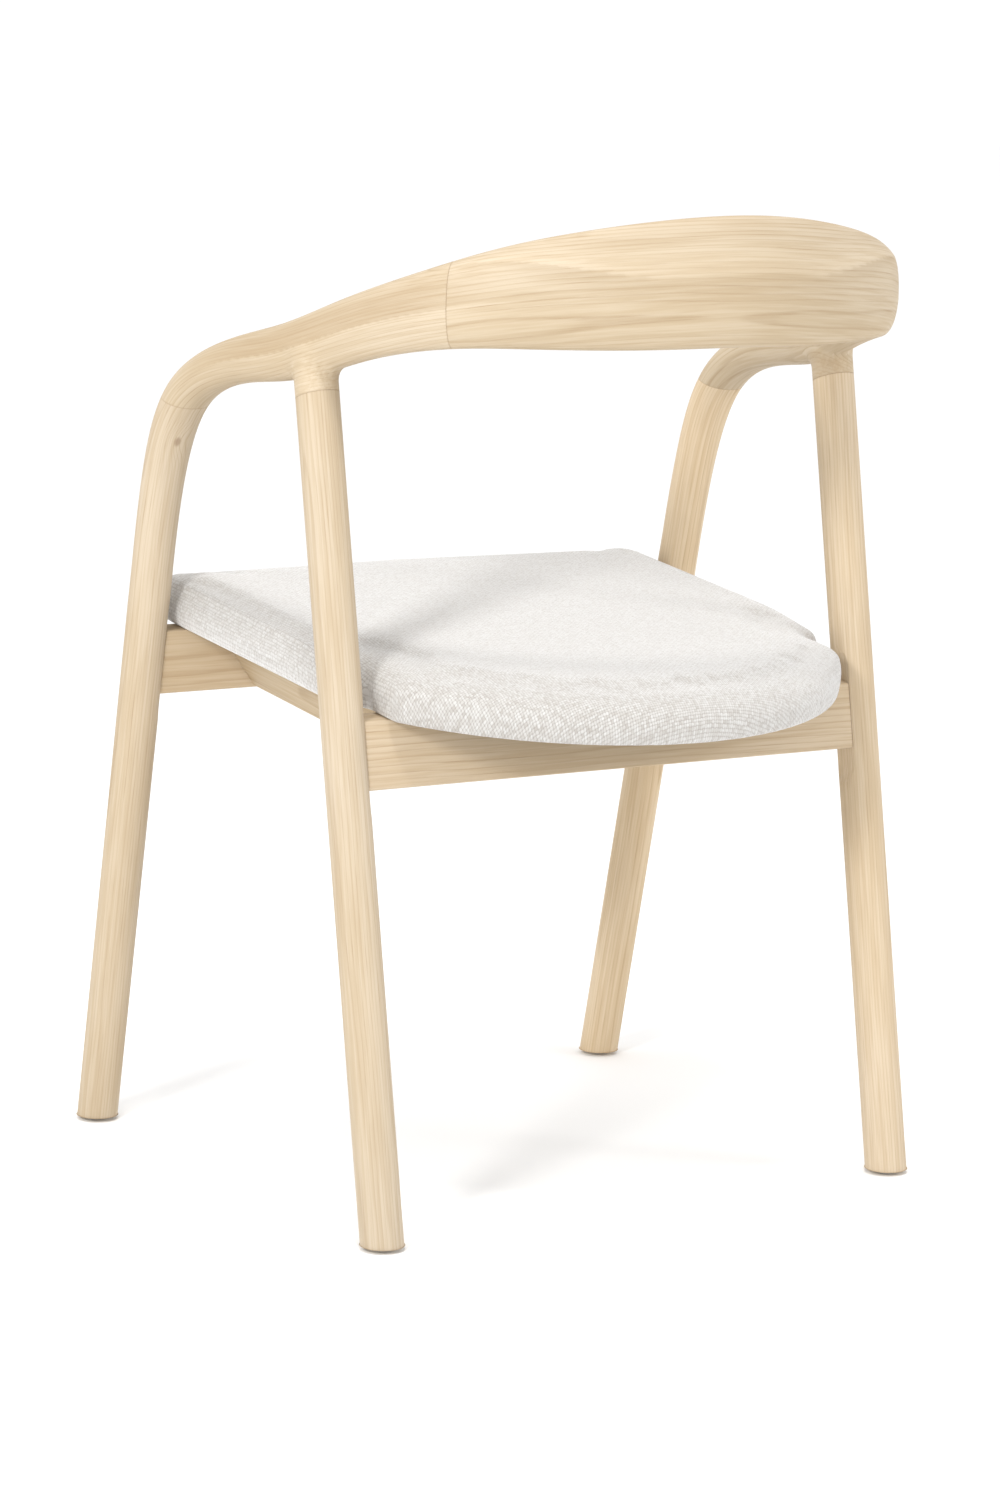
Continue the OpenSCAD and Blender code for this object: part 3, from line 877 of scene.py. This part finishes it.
class Shader:
    """Small helper that adds nodes to a material and links them."""

    def __init__(self, name):
        self.mat = bpy.data.materials.new(name)
        self.mat.use_nodes = True
        self.tree = self.mat.node_tree
        self.bsdf = self.tree.nodes["Principled BSDF"]

    def node(self, kind, inputs=None, **props):
        made = self.tree.nodes.new(kind)
        for key, value in props.items():
            setattr(made, key, value)
        for key, value in (inputs or {}).items():
            if isinstance(value, bpy.types.NodeSocket):
                self.tree.links.new(value, made.inputs[key])
            else:
                made.inputs[key].default_value = value
        return made

    def math(self, operation, a, b=None):
        inputs = {0: a} if b is None else {0: a, 1: b}
        return self.node("ShaderNodeMath", inputs, operation=operation).outputs[0]

    def plus(self, a, b):
        return self.math("ADD", a, b)

    def minus(self, a, b):
        return self.math("SUBTRACT", a, b)

    def times(self, a, b):
        return self.math("MULTIPLY", a, b)

    def vector(self, operation, a, b):
        made = self.node("ShaderNodeVectorMath", {0: a, 1: b}, operation=operation)
        return made.outputs[1 if operation in ("LENGTH", "DISTANCE", "DOT_PRODUCT") else 0]

    def split(self, vector):
        made = self.node("ShaderNodeSeparateXYZ", {0: vector})
        return made.outputs[0], made.outputs[1], made.outputs[2]

    def join(self, x, y, z):
        return self.node("ShaderNodeCombineXYZ", {0: x, 1: y, 2: z}).outputs[0]

    def noise(self, vector, scale, detail=2.0, rough=0.5):
        inputs = {"Vector": vector, "Scale": scale, "Detail": detail, "Roughness": rough}
        return self.node("ShaderNodeTexNoise", inputs).outputs[0]

    def range(self, value, a, b, c, d, smooth=False):
        """Carries a to c and b to d, and holds the value beyond them."""
        made = self.node(
            "ShaderNodeMapRange",
            {0: value, 1: a, 2: b, 3: c, 4: d},
            interpolation_type="SMOOTHSTEP" if smooth else "LINEAR",
        )
        return made.outputs[0]

    def rise(self, value, a, b):
        """0 at a and 1 at b, with soft ends."""
        return self.range(value, a, b, 0.0, 1.0, True)

    def mix(self, factor, a, b):
        made = self.node("ShaderNodeMix", data_type="RGBA")
        for key, value in ((0, factor), (6, a), (7, b)):
            if isinstance(value, bpy.types.NodeSocket):
                self.tree.links.new(value, made.inputs[key])
            else:
                made.inputs[key].default_value = value if key == 0 else (*value[:3], 1)
        return made.outputs[2]

    def attribute(self, name):
        return self.node("ShaderNodeAttribute", attribute_name=name, attribute_type="GEOMETRY").outputs[1]

    def bump(self, height, strength, distance):
        made = self.node("ShaderNodeBump", {"Height": height, "Strength": strength, "Distance": distance})
        self.tree.links.new(made.outputs[0], self.bsdf.inputs["Normal"])

    def set(self, **values):
        for key, value in values.items():
            socket = self.bsdf.inputs[key.replace("_", " ")]
            if isinstance(value, bpy.types.NodeSocket):
                self.tree.links.new(value, socket)
            else:
                socket.default_value = (*value, 1) if isinstance(value, tuple) else value

    def object_place(self):
        return self.node("ShaderNodeTexCoord").outputs["Object"]


ASH_PALE = (0.534, 0.446, 0.330)
ASH_LIGHT = (0.484, 0.389, 0.267)
ASH_MID = (0.424, 0.326, 0.209)
ASH_LATE = (0.300, 0.202, 0.106)
ASH_SHADED = (0.310, 0.216, 0.120)
PORE = (0.26, 0.155, 0.075)
KNOT = (0.17, 0.085, 0.040)
JOINT = (0.26, 0.165, 0.09)


def tinted(colour, tint):
    return tuple(c * t for c, t in zip(colour, tint))


def ring_radius(s, here, heart, offset, wave):
    """Distance from the log's heart, made to wander across and along the grain."""
    p, q, along = s.split(here)
    warp = s.noise(s.join(p, q, s.times(along, 0.09)), 26.0, 3.0, 0.55)
    slow = s.noise(s.join(p, q, s.times(along, 0.35)), 9.0, 2.0, 0.5)
    dp = s.minus(p, heart[0] + offset[0])
    dq = s.minus(q, heart[1] + offset[1])
    radius = s.math("SQRT", s.plus(s.times(dp, dp), s.times(dq, dq)))
    radius = s.plus(radius, s.times(s.minus(warp, 0.5), 0.0050 * wave))
    radius = s.plus(radius, s.times(s.minus(slow, 0.5), 0.0140 * wave))
    return s.plus(radius, s.times(along, 0.005))


def wood(name, offset, heart, knot=None, coords=None, tint=(1, 1, 1), pitch=0.0025, wave=1.0):
    """Pale ash. The grain runs along the third coordinate; heart is where the rings' middle lies."""
    s = Shader(name)
    base = coords(s) if coords else s.attribute("grain")
    here = s.vector("ADD", base, offset)
    p, q, along = s.split(here)
    radius = ring_radius(s, here, heart, offset, wave)
    if knot:
        a, b, c = s.split(s.vector("SUBTRACT", base, knot[:3]))
        far = s.vector("LENGTH", s.join(a, b, s.times(c, 0.55)), (0, 0, 0))
        size = knot[3]
        radius = s.plus(radius, s.times(s.range(far, 0.0, size * 4.0, 1.0, 0.0, True), 0.0060))
        knot_mask = s.range(far, size * 0.30, size * 0.95, 1.0, 0.0, True)
    wobble = s.noise(s.join(radius, 0.0, 0.0), 160.0, 1.0)
    saw = s.math("FRACT", s.plus(s.times(radius, 1 / pitch), s.times(wobble, 1.6)))
    wide = s.times(s.rise(saw, 0.45, 0.92), s.range(saw, 0.95, 1.0, 1.0, 0.0))
    thin = s.times(s.rise(saw, 0.74, 0.90), s.range(saw, 0.94, 1.0, 1.0, 0.0))
    ring = s.plus(s.times(wide, 0.28), s.times(thin, 0.62))
    strength = s.range(s.noise(s.join(radius, 3.0, 0.0), 75.0, 1.0), 0.3, 0.72, 0.30, 1.0)
    fibre = s.noise(s.join(p, q, s.times(along, 0.022)), 900.0, 2.0, 0.6)
    streak = s.noise(s.join(p, q, s.times(along, 0.035)), 330.0, 2.0, 0.65)
    pores = s.times(s.rise(fibre, 0.54, 0.70), s.range(ring, 0.1, 0.7, 0.30, 1.0))
    tone = s.noise(s.join(p, q, s.times(along, 0.3)), 14.0, 2.0, 0.5)
    pale, light, mid, late, shaded = (
        tinted(c, tint) for c in (ASH_PALE, ASH_LIGHT, ASH_MID, ASH_LATE, ASH_SHADED)
    )
    colour = s.mix(s.rise(tone, 0.30, 0.70), pale, light)
    colour = s.mix(s.times(s.rise(streak, 0.40, 0.68), 0.50), colour, mid)
    colour = s.mix(s.times(s.rise(streak, 0.50, 0.30), 0.45), colour, pale)
    colour = s.mix(s.times(s.times(ring, strength), 0.45), colour, late)
    colour = s.mix(s.times(pores, 0.26), colour, PORE)
    if knot:
        colour = s.mix(s.times(knot_mask, 0.45), colour, KNOT)
    if coords is None:
        # Painted light: above zero the first value pales the wood as a painted highlight, below zero it
        # darkens it as painted shade; the second darkens the joints
        painted_light, joint, _ = s.split(s.attribute("shade"))
        lit = tuple(min(1.0, 1.16 * c) for c in pale)
        colour = s.mix(s.range(painted_light, 0.0, 1.0, 0.0, 0.25), colour, lit)
        colour = s.mix(s.range(painted_light, 0.0, -1.0, 0.0, 0.45), colour, shaded)
        colour = s.mix(s.range(joint, 0.0002, 0.0008, 0.24, 0.0, True), colour, JOINT)
    s.set(Base_Color=colour, Roughness=s.range(streak, 0.3, 0.8, 0.56, 0.68), IOR=1.45)
    s.set(Specular_IOR_Level=0.18)
    s.bump(s.plus(s.times(pores, -0.7), s.times(ring, -0.35)), 0.25, 0.0004)
    return s.mat


def inner_wood(name, offset, tint, heart=(0.05, 0.05)):
    """Wood for the CAD nodes that keep their own mesh: the grain runs along x."""

    def along_x(s):
        x, y, z = s.split(s.object_place())
        return s.join(y, z, x)

    return wood(name, (offset, 0, 0), heart, coords=along_x, tint=tint)


WARP_PITCH, WEFT_PITCH = 0.0021, 0.0019
YARN_LIGHT = (0.569, 0.561, 0.545)
YARN_GREY = (0.476, 0.456, 0.432)
YARN_FLECK = (0.367, 0.337, 0.307)
YARN_FUZZ = (0.65, 0.646, 0.637)
WEAVE_GAP_SHADE = (0.29, 0.262, 0.235)
CLOUD = (0.42, 0.39, 0.363)


def fabric(name):
    """A plain weave of uneven off-white yarn, on the cover's own flat coordinates."""
    s = Shader(name)
    u, v, _ = s.split(s.attribute("cloth"))
    slow = s.minus(s.noise(s.join(u, v, 0.0), 55.0, 2.0), 0.5)
    quick = s.minus(s.noise(s.join(u, v, 5.0), 420.0, 1.0), 0.5)
    shift = s.plus(s.times(slow, 0.0016), s.times(quick, 0.0007))
    uu = s.plus(u, shift)
    vv = s.plus(v, s.times(shift, -0.8))
    a = s.times(uu, 1 / WARP_PITCH)
    b = s.times(vv, 1 / WEFT_PITCH)
    column = s.math("FLOOR", a)
    row = s.math("FLOOR", b)
    odd = s.math("MODULO", s.math("ABSOLUTE", s.plus(column, row)), 2.0)
    across = s.math("SINE", s.times(s.math("FRACT", a), math.pi))
    beads = s.math("SINE", s.times(s.math("FRACT", b), math.pi))
    over = []
    for round_way, long_way in ((across, beads), (beads, across)):
        ease = s.plus(s.times(long_way, 0.45), 0.55)
        over.append(s.times(s.math("POWER", round_way, 0.7), ease))
    height = s.plus(over[0], s.times(s.minus(over[1], over[0]), odd))
    yarn = s.noise(s.join(s.times(column, 7.31), s.times(vv, 190.0), 2.0), 1.0, 2.0, 0.6)
    fleck = s.noise(s.join(column, row, 0.0), 0.9, 0.0)
    fuzz = s.noise(s.join(uu, vv, 0.0), 2600.0, 2.0, 0.7)
    cloud = s.noise(s.join(u, v, 9.0), 12.0, 2.0)
    colour = s.mix(s.rise(yarn, 0.35, 0.68), YARN_LIGHT, YARN_GREY)
    colour = s.mix(s.range(fleck, 0.5, 0.72, 0.0, 0.60, True), colour, YARN_FLECK)
    colour = s.mix(s.range(fuzz, 0.5, 0.75, 0.0, 0.14, True), colour, YARN_FUZZ)
    # Painted shade in the low gaps between the yarns
    colour = s.mix(s.range(height, 0.25, 0.7, 0.62, 0.0, True), colour, WEAVE_GAP_SHADE)
    colour = s.mix(s.range(cloud, 0.35, 0.7, 0.0, 0.10, True), colour, CLOUD)
    s.set(Base_Color=colour, Roughness=0.95, Specular_IOR_Level=0.12)
    s.set(Sheen_Weight=0.8, Sheen_Roughness=0.45)
    s.bump(s.plus(height, s.times(fuzz, 0.18)), 0.5, 0.0008)
    return s.mat


def felt(name, colour):
    """Non-woven lining: short fibres and a pressed dot pattern."""
    s = Shader(name)
    place = s.object_place()
    fibre = s.noise(place, 900.0, 3.0, 0.7)
    cloud = s.noise(place, 40.0, 2.0)
    dots = s.node("ShaderNodeTexVoronoi", {"Vector": place, "Scale": 420.0}).outputs["Distance"]
    light = tuple(min(1.0, c * 1.9 + 0.012) for c in colour)
    shade = s.mix(s.range(fibre, 0.35, 0.7, 0.0, 0.8, True), colour, light)
    shade = s.mix(s.range(cloud, 0.3, 0.7, 0.0, 0.25), shade, light)
    s.set(Base_Color=shade, Roughness=0.93, Specular_IOR_Level=0.15)
    s.bump(s.plus(fibre, s.times(dots, 0.8)), 0.35, 0.0004)
    return s.mat


def metal(name, colour, rough, metallic=1.0):
    """Plated steel with a mottled plating and fine scratches."""
    s = Shader(name)
    place = s.object_place()
    blotch = s.noise(place, 600.0, 3.0, 0.6)
    scratch = s.noise(s.vector("MULTIPLY", place, (1.0, 12.0, 1.0)), 900.0, 2.0, 0.6)
    dull = tuple(c * 0.72 for c in colour)
    shade = s.mix(s.range(blotch, 0.35, 0.7, 0.0, 0.45, True), colour, dull)
    worn = s.range(scratch, 0.3, 0.7, rough - 0.06, rough + 0.12)
    s.set(Base_Color=shade, Metallic=metallic, Roughness=worn)
    s.bump(scratch, 0.12, 0.0002)
    return s.mat


def plastic(name, colour):
    """Moulded glide: satin face, scuffed where it meets the floor."""
    s = Shader(name)
    place = s.object_place()
    grit = s.noise(place, 2400.0, 2.0, 0.6)
    _, _, z = s.split(place)
    patches = s.range(s.noise(place, 700.0, 2.0), 0.4, 0.7, 0.2, 0.8)
    scuff = s.times(s.range(z, 0.0, 0.0012, 1.0, 0.0, True), patches)
    dull = tuple(c * 0.85 for c in colour)
    shade = s.mix(s.range(grit, 0.3, 0.7, 0.0, 0.2), colour, dull)
    shade = s.mix(s.times(scuff, 0.5), shade, (0.30, 0.29, 0.27))
    s.set(Base_Color=shade, Roughness=s.range(grit, 0.3, 0.7, 0.42, 0.55))
    s.bump(grit, 0.1, 0.0002)
    return s.mat


def dress(piece, material):
    piece.data.materials.clear()
    piece.data.materials.append(material)


def wear(piece, material):
    """A new piece's material."""
    dress(piece, material)


# Stands for no joint at all, in millimetres
NO_JOINT = 50.0
# Painted shade on the side rails, which sit in the pad's shade
SIDE_RAIL_SHADE = -0.15


def set_shade(piece, painted_light, joints):
    """How much painted light and painted shade the wood gets here, and how far away the nearest joint is.
    """
    points = plan_points(piece)
    gaps = [np.abs((points - at) @ way) for at, way in joints]
    near = np.min(gaps, axis=0) if gaps else np.full(len(points), NO_JOINT)
    set_vectors(piece, "shade", np.column_stack([painted_light / MM * np.ones(len(points)), near, near]))


def ring_painted_light(points):
    """Painted highlight just past the crease of the back, painted shade on its face and above the arm's
    ridge, and a little painted highlight below the ridge.
    """
    t, wide, high, _, row = ring_coords(points)
    t = np.abs(t)
    u = np.clip(high / (row[:, 3] / 2), -1, 1)
    outer = ramp(-1, 4, wide)
    start = crease_at(t)
    past = (u - start) / (1 - start)
    back = 1 - ramp(2.0, 2.9, t)
    bevel = ramp(-0.02, 0.04, past) * (0.75 - 1.0 * ramp(0, 0.7, past))
    face = -0.45 * (1 - ramp(-0.02, 0.04, past)) * ramp(-0.9, 0, past)
    arm = ramp(2.0, 3.4, t) * (1 - ramp(5.3, 6.8, t))
    above = ramp(-0.08, -0.02, u) * (1 - 0.5 * ramp(0.5, 0.9, u))
    return outer * (back * (bevel + face) - 0.9 * arm * above + 0.35 * arm * (1 - above))


def neck_painted_shade(points):
    """Painted shade under the arm's overhang on the left stub, darkest on its inner rear side, where the
    end grain shows darker too.
    """
    gap = points - rear_axis(NECK_Z)
    rise = gap @ REAR_UP
    off = gap - rise[:, None] * REAR_UP
    side = unit(np.column_stack([off[:, :2], np.full(len(off), 1e-6)])) @ np.array([-0.75, 0.66, 0])
    close = 1 - ramp(17, 22, np.linalg.norm(off, axis=1))
    return -close * ramp(-0.2, 0.9, side) * (1 - ramp(17, 30, rise)) * ramp(-40, 20, rise)


def grain_from_ring(piece):
    _, p, q, along, _ = ring_coords(plan_points(piece))
    set_vectors(piece, "grain", np.column_stack([p, q, along]))


def grain_from_axis(piece, at, up, out):
    """Straight pieces: across, across, along."""
    gap = plan_points(piece) - at
    out = unit(out - (out @ up) * up)
    fore = np.cross(up, out)
    set_vectors(piece, "grain", np.column_stack([gap @ out, gap @ fore, gap @ up]))


def grain_of_front_leg(piece):
    """Follows the curve at the top, then the straight leg."""
    points = plan_points(piece)
    _, p, q, along, _ = ring_coords(points)
    end_row, end_along, end_out, end_up = ring_frame(LEG_TOP_T)
    gap = points - end_row[:3]
    past = gap @ end_along
    end_s = np.interp(LEG_TOP_T, FINE_T, FINE_S)
    straight = np.column_stack([gap @ end_out, gap @ end_up, end_s + past])
    curved = np.column_stack([p, q, along])
    set_vectors(piece, "grain", np.where((past > -2)[:, None], straight, curved))


# Build ----------

# Where in the log each piece was cut, and what sets it apart; the tints are partly each piece's own tone
# and partly painted light and shade, darker on the rails that sit in the pad's shade
ASH = {
    "back_rail": dict(offset=(0.31, 0.07, 0.4), heart=(0.047, -0.030), pitch=0.0029),
    "arm_left": dict(offset=(0.9, 0.4, 1.3), heart=(0.020, 0.055)),
    "arm_right": dict(offset=(1.6, 0.8, 2.2), heart=(0.035, 0.045)),
    "front_leg_left": dict(
        offset=(2.3, 0.2, 0.6),
        heart=(0.15, 0.02),
        knot=(0.0037, -0.0156, 0.569, 0.0038),
        wave=0.6,
        tint=(1.01, 1.01, 1.02),
    ),
    "front_leg_right": dict(
        offset=(2.9, 1.2, 0.1), heart=(0.04, -0.12), wave=0.7, tint=(1.20, 1.16, 1.10)
    ),
    "rear_leg_left": dict(
        offset=(3.4, 0.5, 0.9), heart=(0.16, 0.03), wave=0.5, tint=(0.99, 1.00, 1.03)
    ),
    "rear_leg_right": dict(
        offset=(4.1, 0.9, 0.3),
        heart=(0.10, 0.09),
        knot=(0.004, -0.016, 0.245, 0.004),
        wave=0.7,
        tint=(1.10, 1.09, 1.09),
    ),
    "front_rail": dict(
        offset=(4.8, 0.3, 1.9), heart=(0.09, 0.03), pitch=0.0038, wave=0.9, tint=(0.99, 0.95, 0.90)
    ),
    "rear_rail": dict(
        offset=(5.3, 1.1, 0.2), heart=(0.05, 0.09), pitch=0.0036, wave=0.9, tint=(0.99, 0.96, 0.93)
    ),
    "side_rail_left": dict(offset=(5.9, 0.1, 0.8), heart=(0.07, 0.05), tint=(0.97, 0.93, 0.85)),
    "side_rail_right": dict(offset=(6.6, 0.6, 1.1), heart=(0.06, -0.05), tint=(0.97, 0.93, 0.85)),
}


def place(piece, node):
    """The finished wooden piece stands for its CAD node."""
    wear(piece, wood("ash_" + node, **ASH[node]))
    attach(piece, "root")
    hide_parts(node)


def place_pair(piece, node, suffix):
    """The left piece and its mirrored copy."""
    twin = mirrored(piece, node + "_right" + suffix)
    place(piece, node + "_left")
    place(twin, node + "_right")


NECK_JOINT = (rear_axis(NECK_Z), NECK_JOINT_UP)
ELBOW_JOINT = (ELBOW_JOINT_AT, ELBOW_JOINT_UP)
BACK_JOINTS = [(BACK_JOINT_AT * k, BACK_JOINT_WAY * k) for k in (MIRROR, 1)]

back = make_back()
grain_from_ring(back)
set_shade(back, ring_painted_light(plan_points(back)), BACK_JOINTS)
place(back, "back_rail")

arm = make_arm()
grain_from_ring(arm)
arm_painted_light = ring_painted_light(plan_points(arm)) + neck_painted_shade(plan_points(arm))
set_shade(arm, np.clip(arm_painted_light, -1, 1), [BACK_JOINTS[1], ELBOW_JOINT, NECK_JOINT])
place_pair(arm, "arm", "_shaped")

front_leg = make_front_leg()
grain_of_front_leg(front_leg)
set_shade(front_leg, 0.0, [ELBOW_JOINT])
place_pair(front_leg, "front_leg", "_shaped")

rear_leg = make_rear_leg()
grain_from_axis(rear_leg, rear_axis(0), REAR_UP, RIGHT)
set_shade(rear_leg, 0.0, [NECK_JOINT])
place_pair(rear_leg, "rear_leg", "_shaped")

for node, axis, rail_lean, base_z, meet_z in (
    ("front_rail", front_axis, FRONT_LEAN, FRONT_RAIL_Z, 395),
    ("rear_rail", rear_axis, REAR_LEAN, REAR_RAIL_Z, 362),
):
    rail = cross_rail(node + "_eased", axis, rail_lean, base_z, axis(meet_z)[0] - FLAT_X)
    grain_from_axis(rail, np.array([0, axis(base_z)[1], base_z]), RIGHT, REARWARD)
    set_shade(rail, 0.0, [])
    place(rail, node)

side_rail = make_side_rail("side_rail_left_eased")
grain_from_axis(side_rail, on_seat(SIDE_RAIL_X, 0, -25), SEAT_BACK, RIGHT)
set_shade(side_rail, SIDE_RAIL_SHADE, [])
place_pair(side_rail, "side_rail", "_eased")

pad = make_pad()
swell(pad)
set_vectors(pad, "cloth", cloth_coords(seat_local(plan_points(pad))))
fine = pad.modifiers.new("fine", "SUBSURF")
fine.levels = fine.render_levels = 1
bake_modifiers(pad)
pad.data.polygons.foreach_set("use_smooth", [True] * len(pad.data.polygons))
wear(pad, fabric("woven_cover"))
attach(pad, "root")
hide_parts("seat_cover", "seat_foam")

cloth = make_dust_cover()
wear(cloth, felt("lining_cloth", (0.035, 0.035, 0.038)))
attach(cloth, "root")
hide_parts("dust_cover")
flat_low, flat_high = seat_local(plan_points(cloth)).min(0), seat_local(plan_points(cloth)).max(0)

plain = {
    "block_wood": inner_wood("pine_block", 7.0, (0.95, 0.92, 0.85)),
    "dowel_wood": inner_wood("beech_dowel", 8.0, (0.95, 0.88, 0.8)),
    "plywood": inner_wood("plywood_board", 9.0, (0.92, 0.88, 0.8), (0.3, 0.05)),
    "zinc_steel": metal("zinc_plated", (0.62, 0.62, 0.60), 0.38),
    "dark_steel": metal("black_zinc", (0.045, 0.045, 0.047), 0.45, 0.6),
    "glide_plastic": plastic("glide_plastic", (0.62, 0.62, 0.61)),
}
slots = {part["node"]: part["material_slot"] for part in frame["record"]["subparts"]}
for name, node in nodes.items():
    if not node.hide_render and slots[name] in plain:
        dress(node, plain[slots[name]])

# Floor, light and camera ----------

bpy.ops.mesh.primitive_plane_add(size=40, location=(0, 0, 0))
floor = bpy.context.object
floor.name = "floor"
floor_shader = Shader("pale_floor")
floor_shader.set(Base_Color=(0.96, 0.96, 0.96), Roughness=0.75)
floor.data.materials.append(floor_shader.mat)

world = bpy.data.worlds.new("studio")
world.use_nodes = True
surroundings = world.node_tree.nodes["Background"]
surroundings.inputs["Color"].default_value = (1.0, 1.0, 1.0, 1)
surroundings.inputs["Strength"].default_value = 1.06
scene.world = world
SEAT_MIDDLE = Vector((0, 0, 0.45))


def soft_light(name, way, distance, size, irradiance):
    """A square light; irradiance is a share of what the white surroundings give."""
    data = bpy.data.lights.new(name, "AREA")
    data.shape = "SQUARE"
    data.size = size
    data.energy = irradiance * (math.pi * distance) ** 2
    lamp = bpy.data.objects.new(name, data)
    lamp.location = SEAT_MIDDLE + Vector(way).normalized() * distance
    lamp.rotation_euler = Vector(way).to_track_quat("Z", "Y").to_euler()
    scene.collection.objects.link(lamp)


soft_light("overhead", (0.22, 0.33, 1.0), 3.2, 0.45, 0.34)
soft_light("left", (0.86, 0.50, 0.46), 3.6, 0.60, 0.45)
soft_light("right", (-0.75, 0.66, 0.30), 3.6, 0.60, 0.14)

# Where the camera stands, in metres, and how it is turned, in radians
CAMERA_AT = (1.8549, 2.9254 - MID_Y * MM, 0.9281)
YAW, PITCH, ROLL = 2.5768, 0.1721, 0.0225
LENS, SENSOR_W = 104.90, 36
away = Vector((math.sin(YAW) * math.cos(PITCH), -math.cos(YAW) * math.cos(PITCH), math.sin(PITCH)))
right = Vector((math.cos(YAW), math.sin(YAW), 0))
upward = away.cross(right)
turned = right * math.cos(ROLL) + upward * math.sin(ROLL)
risen = upward * math.cos(ROLL) - right * math.sin(ROLL)
camera_data = bpy.data.cameras.new("camera")
camera_data.sensor_width = SENSOR_W
camera_data.lens = LENS
camera = bpy.data.objects.new("camera", camera_data)
scene.collection.objects.link(camera)
turn = Matrix((turned, risen, away)).transposed().to_4x4()
camera.matrix_world = Matrix.Translation(CAMERA_AT) @ turn
scene.camera = camera
scene.view_settings.view_transform = "Standard"
